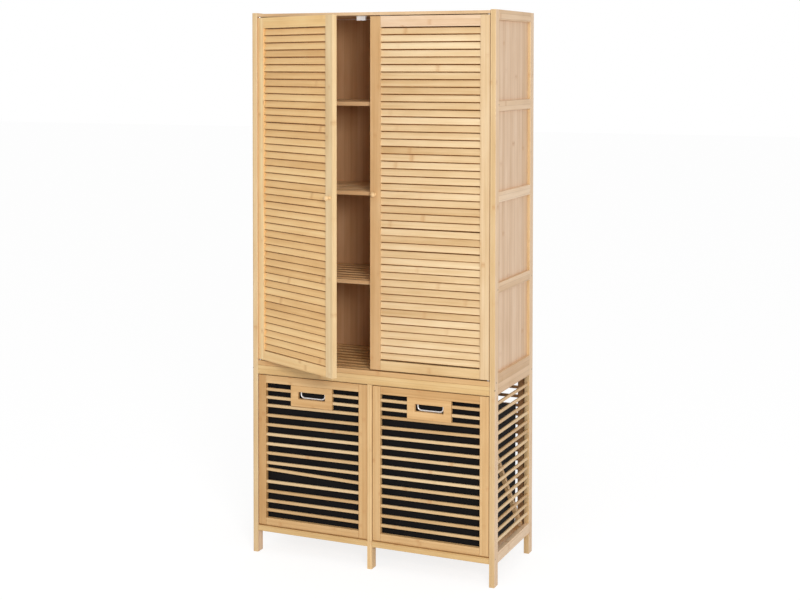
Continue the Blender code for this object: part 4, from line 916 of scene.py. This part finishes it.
def hamper_slats(side):
    """Long slats under the handle plate, short ones beside it."""
    node = side + "_hamper_slats"
    x, y, z = spans(node)
    plate_x, _, plate_z = spans(side + "_hamper_handle_plate")
    slat_x = (x[0] + SLAT_INSET, x[1] - RIGHT_STRIP / 2)
    slat_y = around(y, SLAT_HALF)
    long_top = plate_z[0] - SLAT_GAP
    low = z[0] - SLAT_GAP + SLAT_FOOT_GAP
    pitch = (long_top - low - SLAT_HEIGHT) / (LONG_SLATS - 1)
    boards = Boards(node)
    for row in range(LONG_SLATS):
        left_off, right_off = (off * MILLIMETRE for off in UNEVEN_LONG[side][row])
        if side == "left" and row == SLANTED_SLAT:
            left_off += SLANT_RISE
        top = long_top - row * pitch + (left_off + right_off) / 2
        turn = Matrix.Rotation(math.atan2(left_off - right_off, slat_x[1] - slat_x[0]), 3, "Y")
        boards.add(slat_x, slat_y, (top - SLAT_HEIGHT, top), "x", ease=SLAT_EASE, turn=turn)
    beside = ((slat_x[0], plate_x[0] - SLAT_GAP), (plate_x[1] + SLAT_GAP, slat_x[1]))
    for row in range(1, SHORT_SLATS + 1):
        for short_x, off in zip(beside, UNEVEN_SHORT[side][SHORT_SLATS - row]):
            top = long_top + row * SHORT_PITCH + off * MILLIMETRE
            boards.add(short_x, slat_y, (top - SLAT_HEIGHT, top), "x", ease=SLAT_EASE)
    for strip_x in ((x[0], x[0] + LEFT_STRIP), (x[1] - RIGHT_STRIP, x[1])):
        boards.add(strip_x, y, z, "z", ease=FINE_EASE)
    stand_in(node, "_boards", boards.solid, SLAT_BOARDS, side + "_hamper")


def wire(name, path, radius):
    """A round wire along a path of points."""
    curve = bpy.data.curves.new(name, "CURVE")
    curve.dimensions = "3D"
    curve.bevel_depth = radius
    curve.use_fill_caps = True
    spline = curve.splines.new("POLY")
    spline.points.add(len(path) - 1)
    for point, place in zip(spline.points, path):
        point.co = (*place, 1.0)
    thing = bpy.data.objects.new(name, curve)
    bpy.context.scene.collection.objects.link(thing)
    bpy.context.view_layer.update()
    finished = thing.evaluated_get(bpy.context.evaluated_depsgraph_get())
    mesh = bpy.data.meshes.new_from_object(finished)
    bpy.data.objects.remove(thing)
    bpy.data.curves.remove(curve)
    mesh.shade_smooth()
    return mesh


def bail(side):
    """A bright wire bail behind the hand hole, its two legs fixed to the plate."""
    node = side + "_hamper_bail"
    x, y, z = spans(node)
    centre, half = middle_of(x), (x[1] - x[0]) / 2 - BAIL_RADIUS
    level = z[0] + BAIL_RADIUS
    half_path = [(half, z[1]), (half, z[1] - BAIL_LEG)]
    for step in range(BAIL_STEPS + 1):
        turn = math.radians(90.0) * step / BAIL_STEPS
        inward, upward = (BAIL_BEND * (1.0 - part) for part in (math.cos(turn), math.sin(turn)))
        half_path.append((half - inward, level + upward))
    path = half_path + [(-across, height) for across, height in reversed(half_path)]
    points = [(centre + across, y[0] + BAIL_RADIUS, height) for across, height in path]
    mesh = wire(node + "_wire", points, BAIL_RADIUS)
    add_piece(node + "_wire", mesh, CHROME, side + "_hamper", [node])


# ---- bags

BAG_COLUMNS = 120
BAG_ROWS = 44
BAG_CORNER = 0.0035
BAG_HEM = 0.020
BAG_SKIN = 0.0001
BAG_CLOTH = 0.0016
BAG_MEASURED_COLUMN = 10
# The rim starts above the node's top and falls faster behind its middle, 130 mm from the front
BAG_FRONT_RISE = 0.005
BAG_MIDDLE = 0.130
BAG_MIDDLE_DROP = 0.0145
BAG_REAR_DROP = 0.061
# The rear wall leans back by this much, and is tucked in at its foot
BAG_LEAN = 0.001
BAG_TUCK = 0.020
BAG_TUCK_SHARE = 0.10
# Folds round the bag: least and most of them, and how deep they are
BAG_FOLDS = (((5, 9), 0.0004), ((11, 17), 0.0003), ((21, 29), 0.0001))
BAG_FOLD_LEAN = 2.2
FOLD_SIDE, FOLD_REAR, FOLD_FRONT = 0.3, 2.5, 0.25
BELLY_SIDE, BELLY_REAR, BELLY_TOP = 0.0003, 0.006, 0.94
REAR_DROOP = 0.006
# Rows of the shell as share of its height, inset and lift: foot outside, rim, foot inside
FOOT_SHARE = 0.012
FOOT_OUTSIDE = [
    (0.0, 0.0080, 0.0), (0.0, 0.0030, 0.0), (0.004, 0.0006, 0.0), (FOOT_SHARE, 0.0, 0.0),
]
RIM_ROWS = [
    (0.994, -0.0004, 0.0), (1.0, 0.0, -0.0016), (1.0, 0.0009, -0.0004), (1.0, 0.0018, -0.0004),
    (1.0, 0.0026, -0.0016), (0.994, 0.0030, 0.0),
]
FOOT_INSIDE = [(0.008, 0.0018, 0.0), (0.004, 0.0040, 0.0), (0.0035, 0.0090, 0.0)]
HEM_STEP = 0.002


def bag_outline(half, front, rear, fraction):
    """A point and its outward direction on a rounded rectangle, and the whole way round."""
    sides = (2 * half - 2 * BAG_CORNER, rear - front - 2 * BAG_CORNER) * 2
    corners = ((half, front), (half, rear), (-half, rear), (-half, front))
    arc = math.pi * BAG_CORNER / 2
    total = sum(sides) + 4 * arc
    run = fraction * total
    for turn, (straight, corner) in enumerate(zip(sides, corners)):
        way = Vector(((1, 0), (0, 1), (-1, 0), (0, -1))[turn])
        out = Vector((way.y, -way.x))
        if run <= straight:
            return Vector(corner) - way * (BAG_CORNER + straight - run), out, total
        run -= straight
        if run <= arc:
            break
        run -= arc
    angle = math.pi / 2 * (turn - 1 + run / arc)
    bend = Vector((math.cos(angle), math.sin(angle)))
    return Vector(corner) + (bend - way - out) * BAG_CORNER, bend, total


def rim_height(y, front, rear, top, middle_y, middle_z, rear_z):
    """The rim falls from the front to the rear."""
    if y < middle_y:
        share = max(0.0, (y - front) / (middle_y - front))
        return top + (middle_z - top) * share
    share = min(1.0, (y - middle_y) / (rear - middle_y))
    return middle_z + (rear_z - middle_z) * share


def bag_rows(hem):
    """Rows of the shell, up the outside and down the inside; hem is where its hem starts."""
    walls = [FOOT_SHARE + (hem - FOOT_SHARE) * step / BAG_ROWS for step in range(1, BAG_ROWS)]
    return (
        FOOT_OUTSIDE + [(share, 0.0, 0.0) for share in walls]
        + [(hem - HEM_STEP, 0.0, 0.0), (hem, -0.0003, 0.0)] + RIM_ROWS
        + [(hem, 0.0029, 0.0), (hem - HEM_STEP, 0.0018, 0.0)]
        + [(share, BAG_CLOTH, 0.0) for share in reversed(walls)] + FOOT_INSIDE
    )


def bag(side):
    """A sagging cloth bag: a lofted shell with a floor, soft folds and a hemmed rim."""
    node = side + "_hamper_bag"
    x, (front, rear_top), (low, high) = spans(node)
    centre, half = middle_of(x), (x[1] - x[0]) / 2
    rear_foot = rear_top - BAG_LEAN
    top = high + BAG_FRONT_RISE
    rim_shape = (front + BAG_MIDDLE, high - BAG_MIDDLE_DROP, high - BAG_REAR_DROP)
    chance = random.Random(node)
    folds = [(chance.randint(*some), chance.uniform(0, 6.28), depth) for some, depth in BAG_FOLDS]

    def place(fraction, share, inset, lift):
        """A point of the wall: fraction round it, share of the way up, inset from its face."""
        tuck = BAG_TUCK * max(0.0, 1.0 - share / BAG_TUCK_SHARE) ** 1.5
        rear = rear_foot + (rear_top - rear_foot) * share - tuck
        spot, out, _ = bag_outline(half, front, rear, fraction)
        rim = rim_height(spot.y, front, rear_top, top, *rim_shape)
        fold = sum(
            depth * (1.0 - math.cos(count * 2 * math.pi * fraction + phase + BAG_FOLD_LEAN * share))
            for count, phase, depth in folds
        )
        belly = math.sin(math.pi * min(share / BELLY_TOP, 1.0)) ** 1.2
        facing_side, facing_front = abs(out.x), max(-out.y, 0.0)
        facing_rear = max(0.0, 1.0 - (spot.x / half) ** 4) * max(out.y, 0.0)
        pull = BAG_SKIN + inset + belly * (BELLY_SIDE * facing_side + BELLY_REAR * facing_rear)
        pull += fold * (0.35 + 0.65 * share) * (
            FOLD_SIDE * facing_side + FOLD_REAR * facing_rear + FOLD_FRONT * facing_front
        )
        spot = spot - out * pull
        height = low + (rim - low) * share - REAR_DROOP * facing_rear * share + lift
        return Vector((centre + spot.x, spot.y, height))

    solid = bmesh.new()
    uv = solid.loops.layers.uv.new(GRAIN_MAP)
    girth = bag_outline(half, front, rear_foot, 0.0)[2]
    steps = [column / BAG_COLUMNS for column in range(BAG_COLUMNS)]
    rows = bag_rows(1.0 - BAG_HEM / (top - low))
    rings = [[solid.verts.new(place(step, *row)) for step in steps] for row in rows]
    heights = [0.0]
    for lower, upper in zip(rings, rings[1:]):
        rise = upper[BAG_MEASURED_COLUMN].co - lower[BAG_MEASURED_COLUMN].co
        heights.append(heights[-1] + rise.length)
    for number, face in enumerate(join_rings(solid, rings, BAG_COLUMNS)):
        row, column = divmod(number, BAG_COLUMNS)
        face.smooth = True
        places = ((column, row), (column + 1, row), (column + 1, row + 1), (column, row + 1))
        for loop, (u, v) in zip(face.loops, places):
            loop[uv].uv = (girth * u / BAG_COLUMNS, heights[v])
    for ring in (rings[0][::-1], rings[-1]):
        for loop in solid.faces.new(ring).loops:
            loop[uv].uv = (loop.vert.co.x, loop.vert.co.y)
    bmesh.ops.recalc_face_normals(solid, faces=solid.faces)
    stand_in(node, "_cloth", solid, BLACK_FABRIC, side + "_hamper")


def hampers():
    """Both tilting hampers."""
    for side in SIDES:
        tag = side + "_hamper_"
        hamper_frame(side)
        hamper_slats(side)
        bail(side)
        bag(side)
        dress(tag + "handle_plate", PLATE_BAMBOO, SLAT_EASE)
        dress(tag + "floor", FLOOR_BAMBOO, BOARD_EASE)
        for word in ("left", "right"):
            dress(tag + word + "_brace", BRACE_BAMBOO, BOARD_EASE)
            dress(tag + word + "_pin", DRAWN_STEEL, 0.0)


# ---- screws

# The cabinet's outer side and its front
SIDE_FACE = 0.425
FRONT_FACE = -0.017
SCREW_RADIUS = 0.0026
SCREW_SEGMENTS = 24
# Share of the radius, how far it stands proud of the side, and whether it belongs to the socket
SCREW_PROFILE = (
    (0.0, -0.0012, False), (0.50, -0.0012, True), (0.56, 0.0001, True),
    (0.86, 0.0002, False), (1.0, -0.0001, False), (1.0, -0.0020, False),
)
# Each screw head's distance from the front and height, in metres
SCREWS = (
    (0.031, 1.505), (0.026, 0.930), (0.370, 0.929), (0.0145, 0.641),
    (0.0025, 0.619), (0.3745, 0.616), (0.008, 0.0886),
)


def hexagon(angle):
    """How far a hexagon's edge is from its centre, as a share of its corners' distance."""
    return math.cos(math.pi / 6) / math.cos(angle % (math.pi / 3) - math.pi / 6)


def screw_heads(side):
    """Flat screw heads set into the side, each with a hexagonal socket."""
    solid = bmesh.new()
    for from_front, height in SCREWS:
        rings = []
        for share, proud, socket in SCREW_PROFILE:
            rings.append([])
            for step in range(SCREW_SEGMENTS if share else 1):
                angle = 2 * math.pi * step / SCREW_SEGMENTS
                size = SCREW_RADIUS * share * (hexagon(angle) if socket else 1.0)
                x = SIDES[side] * (SIDE_FACE + proud)
                y = FRONT_FACE + from_front + size * math.cos(angle)
                z = height + size * math.sin(angle)
                rings[-1].append(solid.verts.new((x, y, z)))
        join_rings(solid, rings, SCREW_SEGMENTS)
    bmesh.ops.recalc_face_normals(solid, faces=solid.faces)
    name = side + "_screw_heads"
    add_piece(name, mesh_of(solid, name), SCREW_STEEL, "cabinet")


# ---- studio


def seen_directly(g):
    """1 where the camera, a reflection or clear glass looks straight at the surface."""
    path = g.node("ShaderNodeLightPath").outputs
    seen = g.math("MAXIMUM", path["Is Camera Ray"], path["Is Glossy Ray"])
    return g.math("MAXIMUM", seen, path["Is Transmission Ray"])


def seen_and_lit(owner, output, make_shaders):
    """A material or world with one shader for what is seen and one for what lights the object."""
    g = Graph(owner)
    g.tree.nodes.clear()
    lit, seen = make_shaders(g)
    inputs = {0: seen_directly(g), 1: lit.outputs[0], 2: seen.outputs[0]}
    g.node(output, {"Surface": g.node("ShaderNodeMixShader", inputs).outputs[0]})
    return owner


def floor_shaders(g):
    """White floor that keeps a soft share of the cabinet's shadow."""
    lit, shaded = (
        g.node("ShaderNodeBsdfDiffuse", {"Color": (grey, grey, grey, 1.0)})
        for grey in (FLOOR_GREY, FLOOR_SHADE)
    )
    glow = g.node("ShaderNodeEmission", {"Strength": FLOOR_WHITE - FLOOR_SHADE * FLOOR_LIGHT})
    return lit, g.node("ShaderNodeAddShader", {0: shaded.outputs[0], 1: glow.outputs[0]})


def sky_shaders(g):
    """An even sky that looks white."""
    return (
        g.node("ShaderNodeBackground", {"Color": WHITE, "Strength": light})
        for light in (SKY_LIGHT, BACKGROUND_LIGHT)
    )


def studio():
    """Camera, soft light and a pale floor."""
    scene = bpy.context.scene
    camera = bpy.data.cameras.new("camera")
    camera.lens = CAMERA_LENS
    camera.sensor_width = CAMERA_SENSOR
    camera.sensor_fit = "HORIZONTAL"
    camera.shift_x, camera.shift_y = CAMERA_SHIFT
    camera.clip_end = CAMERA_REACH
    view = bpy.data.objects.new("camera", camera)
    view.location = CAMERA_PLACE
    view.rotation_euler = (math.radians(90.0) - CAMERA_DIP, 0.0, CAMERA_YAW)

    area = bpy.data.lights.new("key", "AREA")
    area.shape = "DISK"
    area.size = KEY_SIZE
    area.energy = KEY_POWER
    key = bpy.data.objects.new("key", area)
    key.location = KEY_PLACE
    key.rotation_euler = (Vector(KEY_PLACE) - Vector(KEY_AIM)).to_track_quat("Z", "Y").to_euler()
    sun = bpy.data.lights.new("fill", "SUN")
    sun.energy = FILL_LIGHT
    sun.angle = FILL_SOFTNESS
    fill = bpy.data.objects.new("fill", sun)
    fill.rotation_euler = Vector(FILL_TOWARD).to_track_quat("Z", "Y").to_euler()
    scene.world = seen_and_lit(bpy.data.worlds.new("studio"), "ShaderNodeOutputWorld", sky_shaders)

    half = FLOOR_SIZE / 2
    corners = [(-half, -half, 0), (half, -half, 0), (half, half, 0), (-half, half, 0)]
    mesh = bpy.data.meshes.new("floor")
    mesh.from_pydata(corners, [], [(0, 1, 2, 3)])
    pale = bpy.data.materials.new("pale_floor")
    mesh.materials.append(seen_and_lit(pale, "ShaderNodeOutputMaterial", floor_shaders))
    floor = bpy.data.objects.new("floor", mesh)
    for thing in (view, key, fill, floor):
        scene.collection.objects.link(thing)
    scene.camera = view
    scene.view_settings.view_transform = "Standard"


carcass()
doors()
hampers()
for which in SIDES:
    magnet_catch(which)
    screw_heads(which)
studio()
